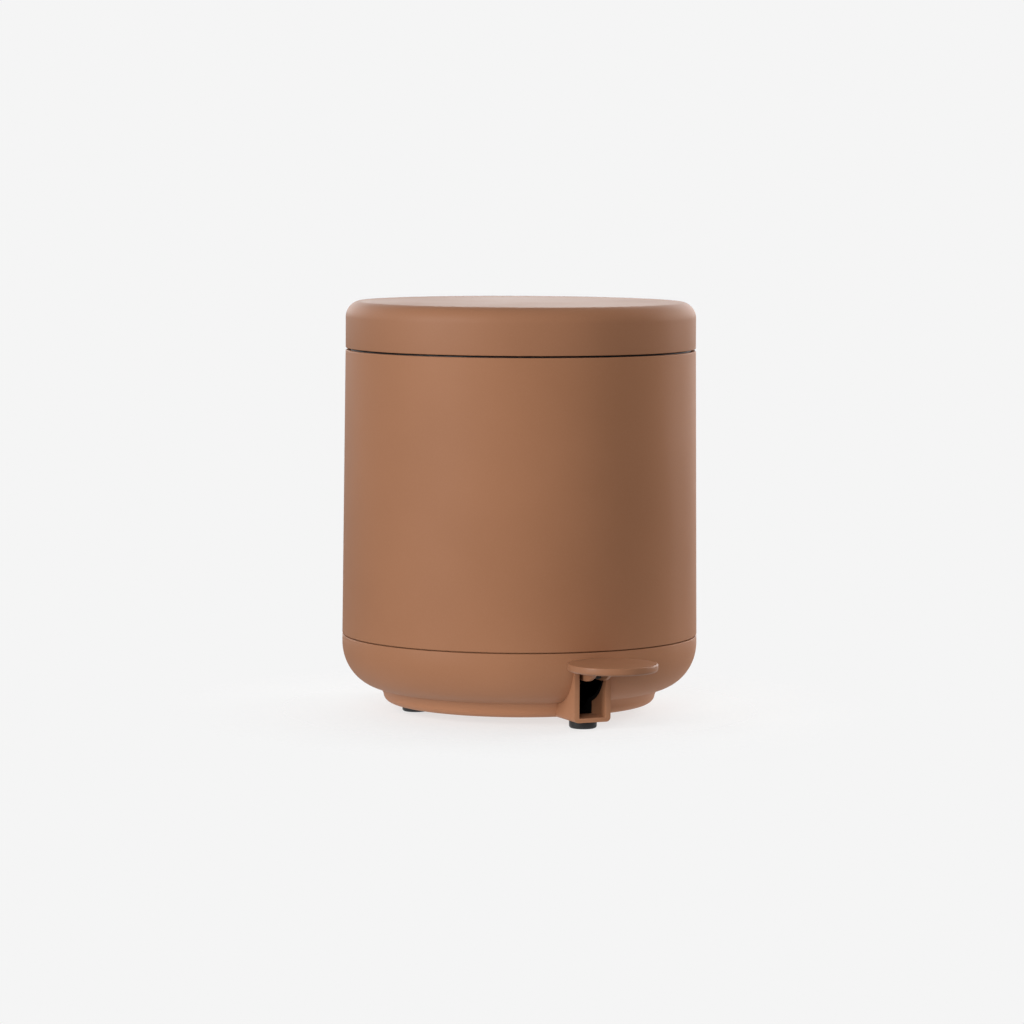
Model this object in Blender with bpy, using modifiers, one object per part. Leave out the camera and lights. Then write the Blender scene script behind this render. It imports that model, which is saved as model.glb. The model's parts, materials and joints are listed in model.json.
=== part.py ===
"""Pedal trash can with a lift-out bucket, a hinged lid and a round pedal.

Sizes are in millimetres. Heights are above the floor, and X and Y are measured from the can's own
upright axis, with the pedal toward -Y and the lid's hinge toward +Y.
"""
import math

import bmesh
import bpy
from mathutils import Matrix, Vector

MM = 0.001

# Driving dimensions
AXIS_BEHIND_CENTRE = 25.1
BASE_R = 100.0
MOUTH_R = 98.4
LID_R = 98.3
TOP_Z = 230.0
FOOT_H = 4.5
BASE_SEAM_Z = 43.0
BASE_SEAM = 0.5
LID_SEAM_Z = 203.5
LID_SEAM = 1.0
WALL = 2.4
LID_WALL = 2.2
FIT = 0.3

# Derived levels
BOWL_TOP_Z = BASE_SEAM_Z - BASE_SEAM / 2
SHELL_BOTTOM_Z = BASE_SEAM_Z + BASE_SEAM / 2
SHELL_TOP_Z = LID_SEAM_Z - LID_SEAM / 2
LID_BOTTOM_Z = LID_SEAM_Z + LID_SEAM / 2
BOWL_FLOOR_Z = FOOT_H + WALL
SHELL_FLOOR_Z = SHELL_BOTTOM_Z + WALL + 0.25

# Joint axes
HINGE_Y = 91.0
HINGE_Z = 205.6
PIVOT_Y = -12.0
PIVOT_Z = 29.3
ROD_X = 6.5
ROD_Y = 80.4
ROD_FOOT_Z = 21.6

# Hinge and linkage
ARM_X = 19.5
ARM_HALF = 3.5
CRANK_HALF = 3.0
CRANK_RADIUS = 12.0
CRANK_DROP = 40.0
CRANK_Y = HINGE_Y - CRANK_RADIUS * math.cos(math.radians(CRANK_DROP))
CRANK_Z = HINGE_Z - CRANK_RADIUS * math.sin(math.radians(CRANK_DROP))
HOUSING_HALF = 35.0

# Pedal
DISC_Y = -125.8
DISC_R = 24.4
DISC_LOW_Z = 35.7
DISC_TOP_Z = 39.9
SLOT_HALF = 7.85
SLOT_TOP_Z = 35.4
BRACKET_HALF = 10.4
BRACKET_Y = -100.6
PEDAL_SCREW_Y = -105.0

# Places of what repeats
POST = 38.0
POSTS = [(x, y) for x in (-POST, POST) for y in (-POST, POST)]
CLAMP_X = 16.0
CLAMP_SCREW_REACH = 6.3
CLAMP_SCREWS = [(x, PIVOT_Y + reach) for x in (-CLAMP_X, CLAMP_X)
                for reach in (-CLAMP_SCREW_REACH, CLAMP_SCREW_REACH)]
FEET = {"front": (0.0, -87.4), "left": (-58.8, 10.4), "right": (58.8, 10.4), "rear": (0.0, 60.0)}
HINGE_SCREW_X = 22.0
HINGE_SCREW_Z = 190.0
LID_SCREWS = [(-27.0, 74.0), (0.0, 72.0), (27.0, 74.0)]
BUMPER_ANGLES = (-110, -40, 40, 110)
GUIDE_LEVELS = {"lower": 70.0, "upper": 150.0}

# Facets
SHELL_STEPS = 56
ROUND_STEPS = 16
SCREW_STEPS = 10

# Material: colour, roughness, metallic
FINISHES = {
    "satin_brown_plastic": ((0.33, 0.17, 0.105), 0.42, 0.0),
    "black_plastic": ((0.012, 0.012, 0.013), 0.45, 0.0),
    "dark_grey_plastic": ((0.045, 0.043, 0.042), 0.5, 0.0),
    "black_rubber": ((0.01, 0.01, 0.01), 0.7, 0.0),
    "zinc_plated_steel": ((0.55, 0.56, 0.57), 0.3, 1.0),
}


# ---------------------------------------------------------------- scene and helpers

def clear_scene():
    for obj in list(bpy.data.objects):
        bpy.data.objects.remove(obj, do_unlink=True)


def new_collection(name):
    collection = bpy.data.collections.new(name)
    bpy.context.scene.collection.children.link(collection)
    return collection


def new_material(name):
    colour, roughness, metallic = FINISHES[name]
    material = bpy.data.materials.new(name)
    material.use_nodes = True
    shader = material.node_tree.nodes["Principled BSDF"]
    shader.inputs["Base Color"].default_value = (*colour, 1.0)
    shader.inputs["Roughness"].default_value = roughness
    shader.inputs["Metallic"].default_value = metallic
    material.diffuse_color = (*colour, 1.0)
    return material


def new_empty(name, place, parent=None):
    empty = bpy.data.objects.new(name, None)
    empty.location = Vector(place) * MM
    empty.parent = parent
    parts.objects.link(empty)
    return empty


def tool(name, mesh):
    """A shape in the cutters' collection. It stays there unless it becomes a part."""
    obj = bpy.data.objects.new(name, mesh)
    obj.hide_render = True
    obj.display_type = "WIRE"
    obj.parent = can_pivot
    cutters.objects.link(obj)
    return obj


def part(name, shape, finish, pivot):
    """Turns a shape into a part that hangs on its joint's empty."""
    cutters.objects.unlink(shape)
    parts.objects.link(shape)
    shape.name = name
    shape.data.name = name
    shape.hide_render = False
    shape.display_type = "TEXTURED"
    shape.parent = pivot
    shape.matrix_parent_inverse = Matrix.Translation(-pivot.location)
    shape.data.materials.clear()
    shape.data.materials.append(materials[finish])
    return shape


def combine(shape, operation, tools):
    for other in tools:
        modifier = shape.modifiers.new(other.name, "BOOLEAN")
        modifier.operation = operation
        modifier.solver = "EXACT"
        modifier.object = other
    return shape


def cut(shape, *tools):
    return combine(shape, "DIFFERENCE", tools)


def join(shape, *tools):
    return combine(shape, "UNION", tools)


def keep(shape, *tools):
    return combine(shape, "INTERSECT", tools)


def arc(centre, radius, start, end, steps):
    """Points on an arc, both ends included. Angles are in degrees from the first axis."""
    points = []
    for step in range(steps + 1):
        angle = math.radians(start + (end - start) * step / steps)
        points.append((centre[0] + radius * math.cos(angle), centre[1] + radius * math.sin(angle)))
    return points


def turned(name, profile, centre=(0.0, 0.0), steps=SHELL_STEPS):
    """A (radius, height) profile turned about an upright axis. It runs down its outer side.

    A profile that starts and ends on the axis makes a solid, and any other makes a ring.
    """
    points = [(radius * MM, 0.0, height * MM) for radius, height in profile]
    edges = [(index, index + 1) for index in range(len(points) - 1)]
    if profile[0][0] > 0:
        edges.append((len(points) - 1, 0))
    mesh = bpy.data.meshes.new(name)
    mesh.from_pydata(points, edges, [])
    obj = tool(name, mesh)
    obj.location = (centre[0] * MM, centre[1] * MM, 0.0)
    screw = obj.modifiers.new("Turn", "SCREW")
    screw.angle = math.tau
    screw.steps = steps
    screw.render_steps = steps
    screw.use_merge_vertices = True
    screw.merge_threshold = 0.00001
    return obj


def box(name, low, high):
    shape = bmesh.new()
    bmesh.ops.create_cube(shape, size=1.0)
    low = Vector(low) * MM
    high = Vector(high) * MM
    size = high - low
    bmesh.ops.transform(shape, matrix=Matrix.Translation((low + high) / 2) @ Matrix.Diagonal((*size, 1.0)),
                        verts=shape.verts)
    mesh = bpy.data.meshes.new(name)
    shape.to_mesh(mesh)
    shape.free()
    return tool(name, mesh)


def bar(name, radius, start, end, steps=ROUND_STEPS):
    """A round bar between two points."""
    start = Vector(start) * MM
    end = Vector(end) * MM
    along = end - start
    turn = along.to_track_quat("Z", "Y").to_matrix().to_4x4()
    shape = bmesh.new()
    bmesh.ops.create_cone(shape, cap_ends=True, segments=steps, radius1=radius * MM, radius2=radius * MM,
                          depth=along.length, matrix=Matrix.Translation((start + end) / 2) @ turn)
    mesh = bpy.data.meshes.new(name)
    shape.to_mesh(mesh)
    shape.free()
    return tool(name, mesh)


def curve_to_mesh(name, curve, place):
    """Makes a curve a welded mesh, so that it can be cut and joined."""
    guide = bpy.data.objects.new(name, curve)
    guide.matrix_world = place
    parts.objects.link(guide)
    graph = bpy.context.evaluated_depsgraph_get()
    mesh = bpy.data.meshes.new_from_object(guide.evaluated_get(graph))
    shape = bmesh.new()
    shape.from_mesh(mesh)
    bmesh.ops.remove_doubles(shape, verts=shape.verts, dist=0.000001)
    shape.to_mesh(mesh)
    shape.free()
    bpy.data.objects.remove(guide, do_unlink=True)
    obj = tool(name, mesh)
    obj.matrix_basis = place
    return obj


def spline_of(curve, points, closed):
    spline = curve.splines.new("POLY")
    spline.points.add(len(points) - 1)
    for spot, place in zip(spline.points, points):
        spot.co = (*(Vector(place) * MM), 1.0)
    spline.use_cyclic_u = closed


def plate(name, outline, low, high, turn):
    """A flat outline, thick from low to high along the axis that its turn points its thickness to."""
    curve = bpy.data.curves.new(name, "CURVE")
    curve.dimensions = "2D"
    curve.fill_mode = "BOTH"
    curve.extrude = abs(high - low) / 2 * MM
    spline_of(curve, [(u, v, 0.0) for u, v in outline], closed=True)
    middle = turn @ Vector((0.0, 0.0, (low + high) / 2 * MM))
    return curve_to_mesh(name, curve, Matrix.Translation(middle) @ turn)


def side_plate(name, outline, x_low, x_high):
    """A (y, z) outline with its thickness along X."""
    along_x = Matrix(((0, 0, 1, 0), (1, 0, 0, 0), (0, 1, 0, 0), (0, 0, 0, 1)))
    return plate(name, outline, x_low, x_high, along_x)


def front_plate(name, outline, y_low, y_high):
    """An (x, z) outline with its thickness along Y."""
    along_y = Matrix(((1, 0, 0, 0), (0, 0, -1, 0), (0, 1, 0, 0), (0, 0, 0, 1)))
    return plate(name, outline, -y_high, -y_low, along_y)


def wire(name, radius, points):
    curve = bpy.data.curves.new(name, "CURVE")
    curve.dimensions = "3D"
    curve.bevel_depth = radius * MM
    curve.bevel_resolution = 2
    curve.use_fill_caps = True
    spline_of(curve, points, closed=False)
    return curve_to_mesh(name, curve, Matrix.Identity(4))


# ---------------------------------------------------------------- outer body

def make_base_bowl():
    """The lower bowl, with the pedal's bracket, the axle saddles and the screw bosses in one moulding."""
    belly_z = 38.6
    belly_r = 26.4
    skin = BASE_R - WALL
    outer = [(0, BOWL_TOP_Z), (BASE_R, BOWL_TOP_Z)]
    outer += arc((BASE_R - belly_r, belly_z), belly_r, 0, -78, 8)
    outer += [(77.2, 12.5)]
    outer += arc((69.8, 11.3), 6.8, 0, -90, 3)
    outer += [(0, FOOT_H)]
    bowl = turned("bowl_outer", outer)

    hollow = [(0, BOWL_TOP_Z + 10), (skin, BOWL_TOP_Z + 10)]
    hollow += arc((BASE_R - belly_r, belly_z), belly_r - WALL, 0, -70, 5)
    hollow += [(76.5, 14.6), (74.2, 11.5), (68.0, BOWL_FLOOR_Z), (0, BOWL_FLOOR_Z)]

    corner = 2.5
    bracket_top = SLOT_TOP_Z + WALL
    outline = [(BRACKET_HALF, bracket_top), (-BRACKET_HALF, bracket_top)]
    outline += arc((corner - BRACKET_HALF, FOOT_H + corner), corner, 180, 270, 4)
    outline += arc((BRACKET_HALF - corner, FOOT_H + corner), corner, 270, 360, 4)
    join(bowl, front_plate("bracket_block", outline, BRACKET_Y, -66))
    cut(bowl, turned("bowl_hollow", hollow))
    cut(bowl, box("pedal_slot", (-SLOT_HALF, BRACKET_Y - 2, BOWL_FLOOR_Z), (SLOT_HALF, -60, SLOT_TOP_Z)))

    for side in (-1, 1):
        low_x, high_x = sorted((side * 13.0, side * 19.0))
        join(bowl, box(f"saddle_{side}", (low_x, PIVOT_Y - 9, FOOT_H + 1.5), (high_x, PIVOT_Y + 9, PIVOT_Z)))
    for x, y in POSTS:
        join(bowl, bar("screw_seat", 6.0, (x, y, FOOT_H + 1), (x, y, 10.0)))

    cut(bowl, bar("axle_notch", 2.3, (-24, PIVOT_Y, PIVOT_Z), (24, PIVOT_Y, PIVOT_Z)))
    for x, y in CLAMP_SCREWS:
        cut(bowl, bar("clamp_screw_hole", 1.55, (x, y, PIVOT_Z - 8.3), (x, y, PIVOT_Z + 2), SCREW_STEPS))
    for x, y in POSTS:
        cut(bowl, bar("counterbore", 3.6, (x, y, FOOT_H - 1), (x, y, 7.5)))
        cut(bowl, bar("screw_way", 1.9, (x, y, FOOT_H - 1), (x, y, 12.0), SCREW_STEPS))
    for x, y in FEET.values():
        cut(bowl, bar("foot_recess", 8.0, (x, y, FOOT_H - 1), (x, y, FOOT_H + 1), 24))
    part("base_bowl", bowl, "satin_brown_plastic", can_pivot)


def make_feet():
    for name, centre in FEET.items():
        profile = [(0, FOOT_H + 1 - FIT), (7.7, FOOT_H + 1 - FIT), (7.5, 1.2)]
        profile += arc((6.3, 1.2), 1.2, 0, -90, 2)
        profile += [(0, 0)]
        foot = turned("foot", profile, centre, steps=20)
        part(f"foot_{name}", foot, "black_rubber", can_pivot)


def make_outer_shell():
    """The outer wall with its floor, a spigot into the bowl, four screw posts and two hinge bosses."""
    spigot_r = BASE_R - WALL - 0.4
    spigot_inner = spigot_r - 2.0
    profile = [
        (0, SHELL_FLOOR_Z),
        (BASE_R - WALL, SHELL_FLOOR_Z),
        (MOUTH_R - WALL, SHELL_TOP_Z),
        (MOUTH_R, SHELL_TOP_Z),
        (BASE_R, SHELL_BOTTOM_Z),
        (spigot_r, SHELL_BOTTOM_Z),
        (spigot_r, BOWL_TOP_Z - 4.25),
        (spigot_inner, BOWL_TOP_Z - 4.25),
        (spigot_inner, SHELL_BOTTOM_Z + 0.25),
        (0, SHELL_BOTTOM_Z + 0.25),
    ]
    shell = turned("shell_wall", profile)
    for x, y in POSTS:
        join(shell, bar("screw_post", 4.2, (x, y, 10.3), (x, y, SHELL_BOTTOM_Z + 1)))
    for side in (-1, 1):
        x = side * HINGE_SCREW_X
        join(shell, bar("hinge_boss", 4.0, (x, 91.5, HINGE_SCREW_Z), (x, 94.6, HINGE_SCREW_Z)))
        hole_ends = (x, 89, HINGE_SCREW_Z), (x, 94.9, HINGE_SCREW_Z)
        cut(shell, bar("hinge_screw_hole", 1.55, *hole_ends, SCREW_STEPS))
    for x, y in POSTS:
        cut(shell, bar("post_hole", 1.75, (x, y, 8), (x, y, 30), SCREW_STEPS))
    cut(shell, bar("rod_way", 3.2, (ROD_X, ROD_Y, SHELL_BOTTOM_Z - 4), (ROD_X, ROD_Y, SHELL_FLOOR_Z + 4)))
    part("outer_shell", shell, "satin_brown_plastic", can_pivot)


def make_rim_ring():
    """The ring in the can's mouth. Its ledge carries the bucket, and its skirt fits in the shell."""
    profile = [
        (95.0, 212.0),
        (95.0, 204.0),
        (95.6, 203.4),
        (95.6, 194.0),
        (93.8, 194.0),
        (93.8, 199.6),
        (90.6, 199.6),
        (90.6, 201.6),
        (92.6, 201.6),
        (92.6, 212.0),
    ]
    ring = turned("ring_section", profile)
    cut(ring, box("ring_gap", (-HOUSING_HALF - 1, 60, 190), (HOUSING_HALF + 1, 110, 216)))
    part("rim_ring", ring, "black_plastic", can_pivot)


def make_hinge_housing():
    """The fixed half of the hinge. Its back lies flush in the lid's cut-out."""
    barrel_r = 10.0
    front_y = 87.5
    meets = math.degrees(math.acos((front_y - HINGE_Y) / barrel_r))
    outline = [(front_y, 184.0)]
    outline += arc((HINGE_Y, HINGE_Z), barrel_r, -meets, -360, 20)
    outline += [(104.0, 184.0)]
    block = side_plate("housing_block", outline, -HOUSING_HALF, HOUSING_HALF)
    skin = [
        (0, 220),
        (LID_R, 220),
        (LID_R, SHELL_TOP_Z + FIT),
        (95.7, SHELL_TOP_Z + FIT),
        (95.7, 180),
        (0, 180),
    ]
    keep(block, turned("housing_skin", skin, steps=SHELL_STEPS + 24))
    for side in (-1, 1):
        inner, outer = ARM_X - ARM_HALF - 0.4, ARM_X + ARM_HALF + 0.4
        low_x, high_x = sorted((side * inner, side * outer))
        cut(block, box(f"arm_slot_{side}", (low_x, 78, HINGE_Z - 6.1), (high_x, 104, 218)))
    cut(block, box("crank_slot", (-CRANK_HALF - 1.4, 78, 196.0), (11.4, 104, 218)))
    cut(block, bar("pin_bore", 1.8, (-27.8, HINGE_Y, HINGE_Z), (27.8, HINGE_Y, HINGE_Z)))
    for side in (-1, 1):
        x = side * HINGE_SCREW_X
        hole_ends = (x, 85, HINGE_SCREW_Z), (x, 93, HINGE_SCREW_Z)
        cut(block, bar("housing_screw_hole", 1.8, *hole_ends, SCREW_STEPS))
        cut(block, bar("boss_pocket", 4.4, (x, 91.2, HINGE_SCREW_Z), (x, 100, HINGE_SCREW_Z)))
    part("hinge_housing", block, "satin_brown_plastic", can_pivot)


def make_hinge_pin_and_screws():
    pin = bar("pin", 1.5, (-27.5, HINGE_Y, HINGE_Z), (27.5, HINGE_Y, HINGE_Z))
    part("hinge_pin", pin, "zinc_plated_steel", can_pivot)
    for side, name in ((-1, "left"), (1, "right")):
        x = side * HINGE_SCREW_X
        screw = make_screw((x, 87.2, HINGE_SCREW_Z), (x, 94.4, HINGE_SCREW_Z), 2.8, 1.25)
        part(f"hinge_screw_{name}", screw, "zinc_plated_steel", can_pivot)


def make_screw(seat, tip, head_r, shank_r):
    """A screw whose head's underside is at the seat. The head is 1.6 mm thick."""
    along = (Vector(tip) - Vector(seat)).normalized()
    head = bar("screw_head", head_r, Vector(seat) - along * 1.6, seat, SCREW_STEPS)
    shank = bar("screw_shank", shank_r, Vector(seat) - along * 0.8, tip, SCREW_STEPS)
    return join(head, shank)


def make_rod_cover():
    """A channel that keeps the bucket off the push rod. Its top is open for the yoke and the hinge."""
    wall = 1.6
    low_y, high_y = 72.0, 86.5
    cover = box("cover_outer", (-33, low_y, SHELL_FLOOR_Z + FIT), (33, high_y, 200))
    cut(cover, box("cover_inner", (-33 + wall, low_y + wall, 40), (33 - wall, high_y + 4, 210)))
    cut(cover, box("cover_top_step", (-36, 76, 182), (36, high_y + 4, 210)))
    part("rod_cover", cover, "black_plastic", can_pivot)


def make_rod_guides():
    for name, level in GUIDE_LEVELS.items():
        guide = box(f"guide_{name}", (0, 76, level - 2.5), (13, 94.6, level + 2.5))
        cut(guide, bar(f"guide_bore_{name}", 1.9, (ROD_X, ROD_Y, level - 5), (ROD_X, ROD_Y, level + 5)))
        part(f"rod_guide_{name}", guide, "black_plastic", can_pivot)


def make_axle_and_clamps():
    axle = bar("axle", 2.0, (-20.5, PIVOT_Y, PIVOT_Z), (20.5, PIVOT_Y, PIVOT_Z))
    part("lever_axle", axle, "zinc_plated_steel", can_pivot)
    top = PIVOT_Z + 5.2
    for side, name in ((-1, "left"), (1, "right")):
        low_x, high_x = sorted((side * 13.2, side * 18.8))
        clamp = box(f"clamp_{name}", (low_x, PIVOT_Y - 9, PIVOT_Z + FIT), (high_x, PIVOT_Y + 9, top))
        cut(clamp, bar("clamp_notch", 2.3, (side * 10, PIVOT_Y, PIVOT_Z), (side * 22, PIVOT_Y, PIVOT_Z)))
        for reach in (-CLAMP_SCREW_REACH, CLAMP_SCREW_REACH):
            x, y = side * CLAMP_X, PIVOT_Y + reach
            cut(clamp, bar("clamp_hole", 1.55, (x, y, PIVOT_Z - 2), (x, y, top + 2), SCREW_STEPS))
        part(f"axle_clamp_{name}", clamp, "black_plastic", can_pivot)
    for number, (x, y) in enumerate(CLAMP_SCREWS, 1):
        screw = make_screw((x, y, top + FIT), (x, y, 22.0), 2.6, 1.25)
        part(f"clamp_screw_{number}", screw, "zinc_plated_steel", can_pivot)


def make_base_screws():
    for number, (x, y) in enumerate(POSTS, 1):
        screw = make_screw((x, y, 7.5 - FIT), (x, y, 24.0), 3.2, 1.4)
        part(f"base_screw_{number}", screw, "zinc_plated_steel", can_pivot)


# ---------------------------------------------------------------- bucket

BUCKET_STEPS = 40


def rounded_corner(before, corner, after, radius, steps=3):
    """Points on an arc that rounds a corner between two straight legs."""
    corner = Vector(corner)
    leg_in = (Vector(before) - corner).normalized()
    leg_out = (Vector(after) - corner).normalized()
    half = leg_in.angle(leg_out) / 2
    reach = radius / math.tan(half)
    centre = corner + (leg_in + leg_out).normalized() * (radius / math.sin(half))
    first = corner + leg_in * reach - centre
    last = corner + leg_out * reach - centre
    turn = first.angle_signed(last)
    points = []
    for step in range(steps + 1):
        angle = -turn * step / steps
        points.append(tuple(centre + Matrix.Rotation(angle, 2) @ first))
    return points


def bucket_outline(offset):
    """The bucket's outline seen from above: a circle with a recess at the back for the linkage."""
    radius = 90.0 + offset
    recess_half = 38.0 - offset
    recess_y = 69.0 + offset
    mouth_y = math.sqrt(radius ** 2 - recess_half ** 2)
    mouth_angle = math.degrees(math.atan2(mouth_y, recess_half))
    margin = 4.0
    circle = arc((0, 0), radius, mouth_angle - margin, -180 - mouth_angle + margin, BUCKET_STEPS)
    right = (recess_half, mouth_y)
    left = (-recess_half, mouth_y)
    deep_right = (recess_half, recess_y)
    deep_left = (-recess_half, recess_y)
    outline = list(circle)
    outline += rounded_corner(circle[-1], left, deep_left, 3.0)
    outline += rounded_corner(left, deep_left, deep_right, 4.0)
    outline += rounded_corner(deep_left, deep_right, right, 4.0)
    outline += rounded_corner(deep_right, right, circle[0], 3.0)
    return outline


def lofted_cup(name, levels):
    """A closed solid through (offset, height) levels, from the outer floor over the rim to the inside."""
    shape = bmesh.new()
    loops = []
    for offset, height in levels:
        loops.append([shape.verts.new(Vector((x, y, height)) * MM) for x, y in bucket_outline(offset)])
    for lower, upper in zip(loops, loops[1:]):
        for index in range(len(lower)):
            following = (index + 1) % len(lower)
            shape.faces.new((lower[index], upper[index], upper[following], lower[following]))
    shape.faces.new(loops[0])
    shape.faces.new(loops[-1][::-1])
    bmesh.ops.recalc_face_normals(shape, faces=shape.faces)
    mesh = bpy.data.meshes.new(name)
    shape.to_mesh(mesh)
    shape.free()
    return tool(name, mesh)


BUCKET_LUG_Y = 6.0
BUCKET_LUG_Z = 205.7


def make_inner_bucket():
    rim_z = 203.9
    levels = [
        (-5.5, SHELL_FLOOR_Z + 0.5),
        (-4.0, 50.0),
        (0.0, 201.9),
        (2.3, 201.9),
        (2.3, rim_z),
        (-1.8, rim_z),
        (-5.8, 50.5),
        (-7.5, 48.4),
    ]
    bucket = lofted_cup("bucket_cup", levels)
    for side in (-1, 1):
        low_x, high_x = sorted((side * 86.2, side * 88.4))
        join(bucket, box(f"handle_lug_{side}", (low_x, 2.5, 198.0), (high_x, 9.5, 208.7)))
        cut(bucket, bar(f"lug_hole_{side}", 1.6, (side * 84, BUCKET_LUG_Y, BUCKET_LUG_Z),
                        (side * 91, BUCKET_LUG_Y, BUCKET_LUG_Z), SCREW_STEPS))
    part("inner_bucket", bucket, "dark_grey_plastic", can_pivot)


def make_bucket_handle():
    """A wire bail lying round the front of the rim, with its ends bent in through the lugs."""
    ring_r = 90.3
    bend = 2.0
    end_x = 84.6
    side_x = math.sqrt(ring_r ** 2 - BUCKET_LUG_Y ** 2)
    start = math.degrees(math.asin((BUCKET_LUG_Y - bend) / ring_r))
    route = [(end_x, BUCKET_LUG_Y)]
    route += arc((side_x - bend, BUCKET_LUG_Y - bend), bend, 90, 0, 4)
    route += arc((0, 0), ring_r, start - 1.5, -180 - start + 1.5, 32)
    route += arc((bend - side_x, BUCKET_LUG_Y - bend), bend, 180, 90, 4)
    route += [(-end_x, BUCKET_LUG_Y)]
    bail = wire("bail", 1.25, [(x, y, BUCKET_LUG_Z) for x, y in route])
    part("bucket_handle", bail, "zinc_plated_steel", can_pivot)


# ---------------------------------------------------------------- pedal

def make_pedal_plate():
    """The round disc, with two ribs below it that hold the lever between them."""
    rim = 2.0
    profile = [(0, DISC_TOP_Z)]
    profile += arc((DISC_R - rim, DISC_TOP_Z - rim), rim, 90, 0, 4)
    profile += arc((DISC_R - rim, DISC_LOW_Z + rim), rim, 0, -90, 3)
    profile += [(0, DISC_LOW_Z)]
    disc = turned("pedal_disc", profile, (0, DISC_Y), steps=40)
    outline = [(-94.0, 35.0), (-102.5, 35.0), (-102.5, 36.6), (-120.0, 36.6), (-120.0, 35.0)]
    outline += arc((-101.5, 46.1), 18.5, -143, -90, 4)
    outline += [(-94.0, 27.6)]
    for side in (-1, 1):
        low_x, high_x = sorted((side * 3.7, side * 5.5))
        join(disc, side_plate(f"pedal_rib_{side}", outline, low_x, high_x))
    cut(disc, bar("disc_screw_hole", 1.55, (0, PEDAL_SCREW_Y, DISC_LOW_Z - 4),
                  (0, PEDAL_SCREW_Y, DISC_TOP_Z - 1.5), SCREW_STEPS))
    part("pedal_plate", disc, "satin_brown_plastic", pedal_pivot)


def make_pedal_lever():
    """The lever that turns on the axle: its nose holds the disc, and its eye lifts the push rod."""
    half = 3.4
    eye_r = 4.5
    nose_top = DISC_LOW_Z - 0.8
    outline = [(-113.0, nose_top), (-113.0, 33.4), (-108.5, 31.0), (-101.8, 31.0), (-100.6, 29.5)]
    outline += [(-90.0, 28.5), (PIVOT_Y - 10, 23.8), (PIVOT_Y + 10, 23.2), (ROD_Y - 6, ROD_FOOT_Z - 4.2)]
    outline += arc((ROD_Y, ROD_FOOT_Z), eye_r, -90, 90, 6)
    outline += [(ROD_Y - 6, ROD_FOOT_Z + 4.2), (PIVOT_Y + 10, 34.6), (PIVOT_Y - 10, nose_top)]
    lever = side_plate("lever_beam", outline, -half, half)
    join(lever, bar("lever_boss", 6.5, (-12, PIVOT_Y, PIVOT_Z), (12, PIVOT_Y, PIVOT_Z), 24))
    cut(lever, bar("lever_bore", 2.15, (-14, PIVOT_Y, PIVOT_Z), (14, PIVOT_Y, PIVOT_Z)))
    cut(lever, bar("lever_eye", 1.95, (-6, ROD_Y, ROD_FOOT_Z), (6, ROD_Y, ROD_FOOT_Z)))
    cut(lever, bar("lever_screw_hole", 1.55, (0, PEDAL_SCREW_Y, 28), (0, PEDAL_SCREW_Y, 38), SCREW_STEPS))
    part("pedal_lever", lever, "black_plastic", pedal_pivot)


def make_pedal_screw():
    screw = make_screw((0, PEDAL_SCREW_Y, 31.0 - FIT), (0, PEDAL_SCREW_Y, DISC_TOP_Z - 1.8), 2.6, 1.25)
    part("pedal_screw", screw, "zinc_plated_steel", pedal_pivot)


# ---------------------------------------------------------------- push rod

ROD_TOP_Z = 194.2


def make_push_rod():
    bend = 2.0
    route = [(-ROD_X, ROD_FOOT_Z)]
    route += arc((ROD_X - bend, ROD_FOOT_Z + bend), bend, -90, 0, 4)
    route += [(ROD_X, ROD_TOP_Z)]
    rod = wire("rod_wire", 1.5, [(x, ROD_Y, z) for x, z in route])
    part("push_rod", rod, "zinc_plated_steel", rod_pivot)


def make_rod_yoke():
    """The slotted block on the rod's top. The lid's crank pin runs in its slot."""
    half_slot = 2.35
    yoke = box("yoke_block", (3.8, 74.6, 187.9), (10.0, 86.2, 203.9))
    for end_y in (ROD_Y - 4.0 + half_slot, ROD_Y + 4.0 - half_slot):
        cut(yoke, bar("yoke_slot_end", half_slot, (1, end_y, CRANK_Z), (13, end_y, CRANK_Z)))
    cut(yoke, box("yoke_slot", (1, ROD_Y - 4.0 + half_slot, CRANK_Z - half_slot),
                  (13, ROD_Y + 4.0 - half_slot, CRANK_Z + half_slot)))
    cut(yoke, bar("yoke_rod_hole", 1.8, (ROD_X, ROD_Y, 184), (ROD_X, ROD_Y, ROD_TOP_Z + FIT)))
    part("rod_yoke", yoke, "black_plastic", rod_pivot)


def make_rod_clip():
    clip = bar("clip_ring", 3.4, (-6.0, ROD_Y, ROD_FOOT_Z), (-5.2, ROD_Y, ROD_FOOT_Z), ROUND_STEPS)
    cut(clip, bar("clip_bore", 1.8, (-8, ROD_Y, ROD_FOOT_Z), (-3, ROD_Y, ROD_FOOT_Z)))
    part("rod_clip", clip, "zinc_plated_steel", rod_pivot)


# ---------------------------------------------------------------- lid

def make_lid_shell():
    fillet = 8.7
    flat_r = LID_R - fillet
    fillet_z = TOP_Z - fillet
    inner_r = LID_R - flat_r - LID_WALL
    profile = [(0, TOP_Z)]
    profile += arc((flat_r, fillet_z), fillet, 90, 0, 6)
    profile += [(LID_R + 0.05, LID_BOTTOM_Z), (LID_R - LID_WALL, LID_BOTTOM_Z)]
    profile += arc((flat_r, fillet_z), inner_r, 0, 90, 3)
    profile += [(0, fillet_z + inner_r)]
    lid = turned("lid_skin", profile)
    cut(lid, box("housing_gap", (-HOUSING_HALF - 0.6, 80, 198), (HOUSING_HALF + 0.6, 106, 216.4)))
    for x, y in LID_SCREWS:
        join(lid, bar("lid_boss", 4.0, (x, y, 223.6), (x, y, 229.0)))
        cut(lid, bar("lid_screw_hole", 1.55, (x, y, 221), (x, y, 227.0), SCREW_STEPS))
    part("lid_shell", lid, "satin_brown_plastic", lid_pivot)


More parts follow.
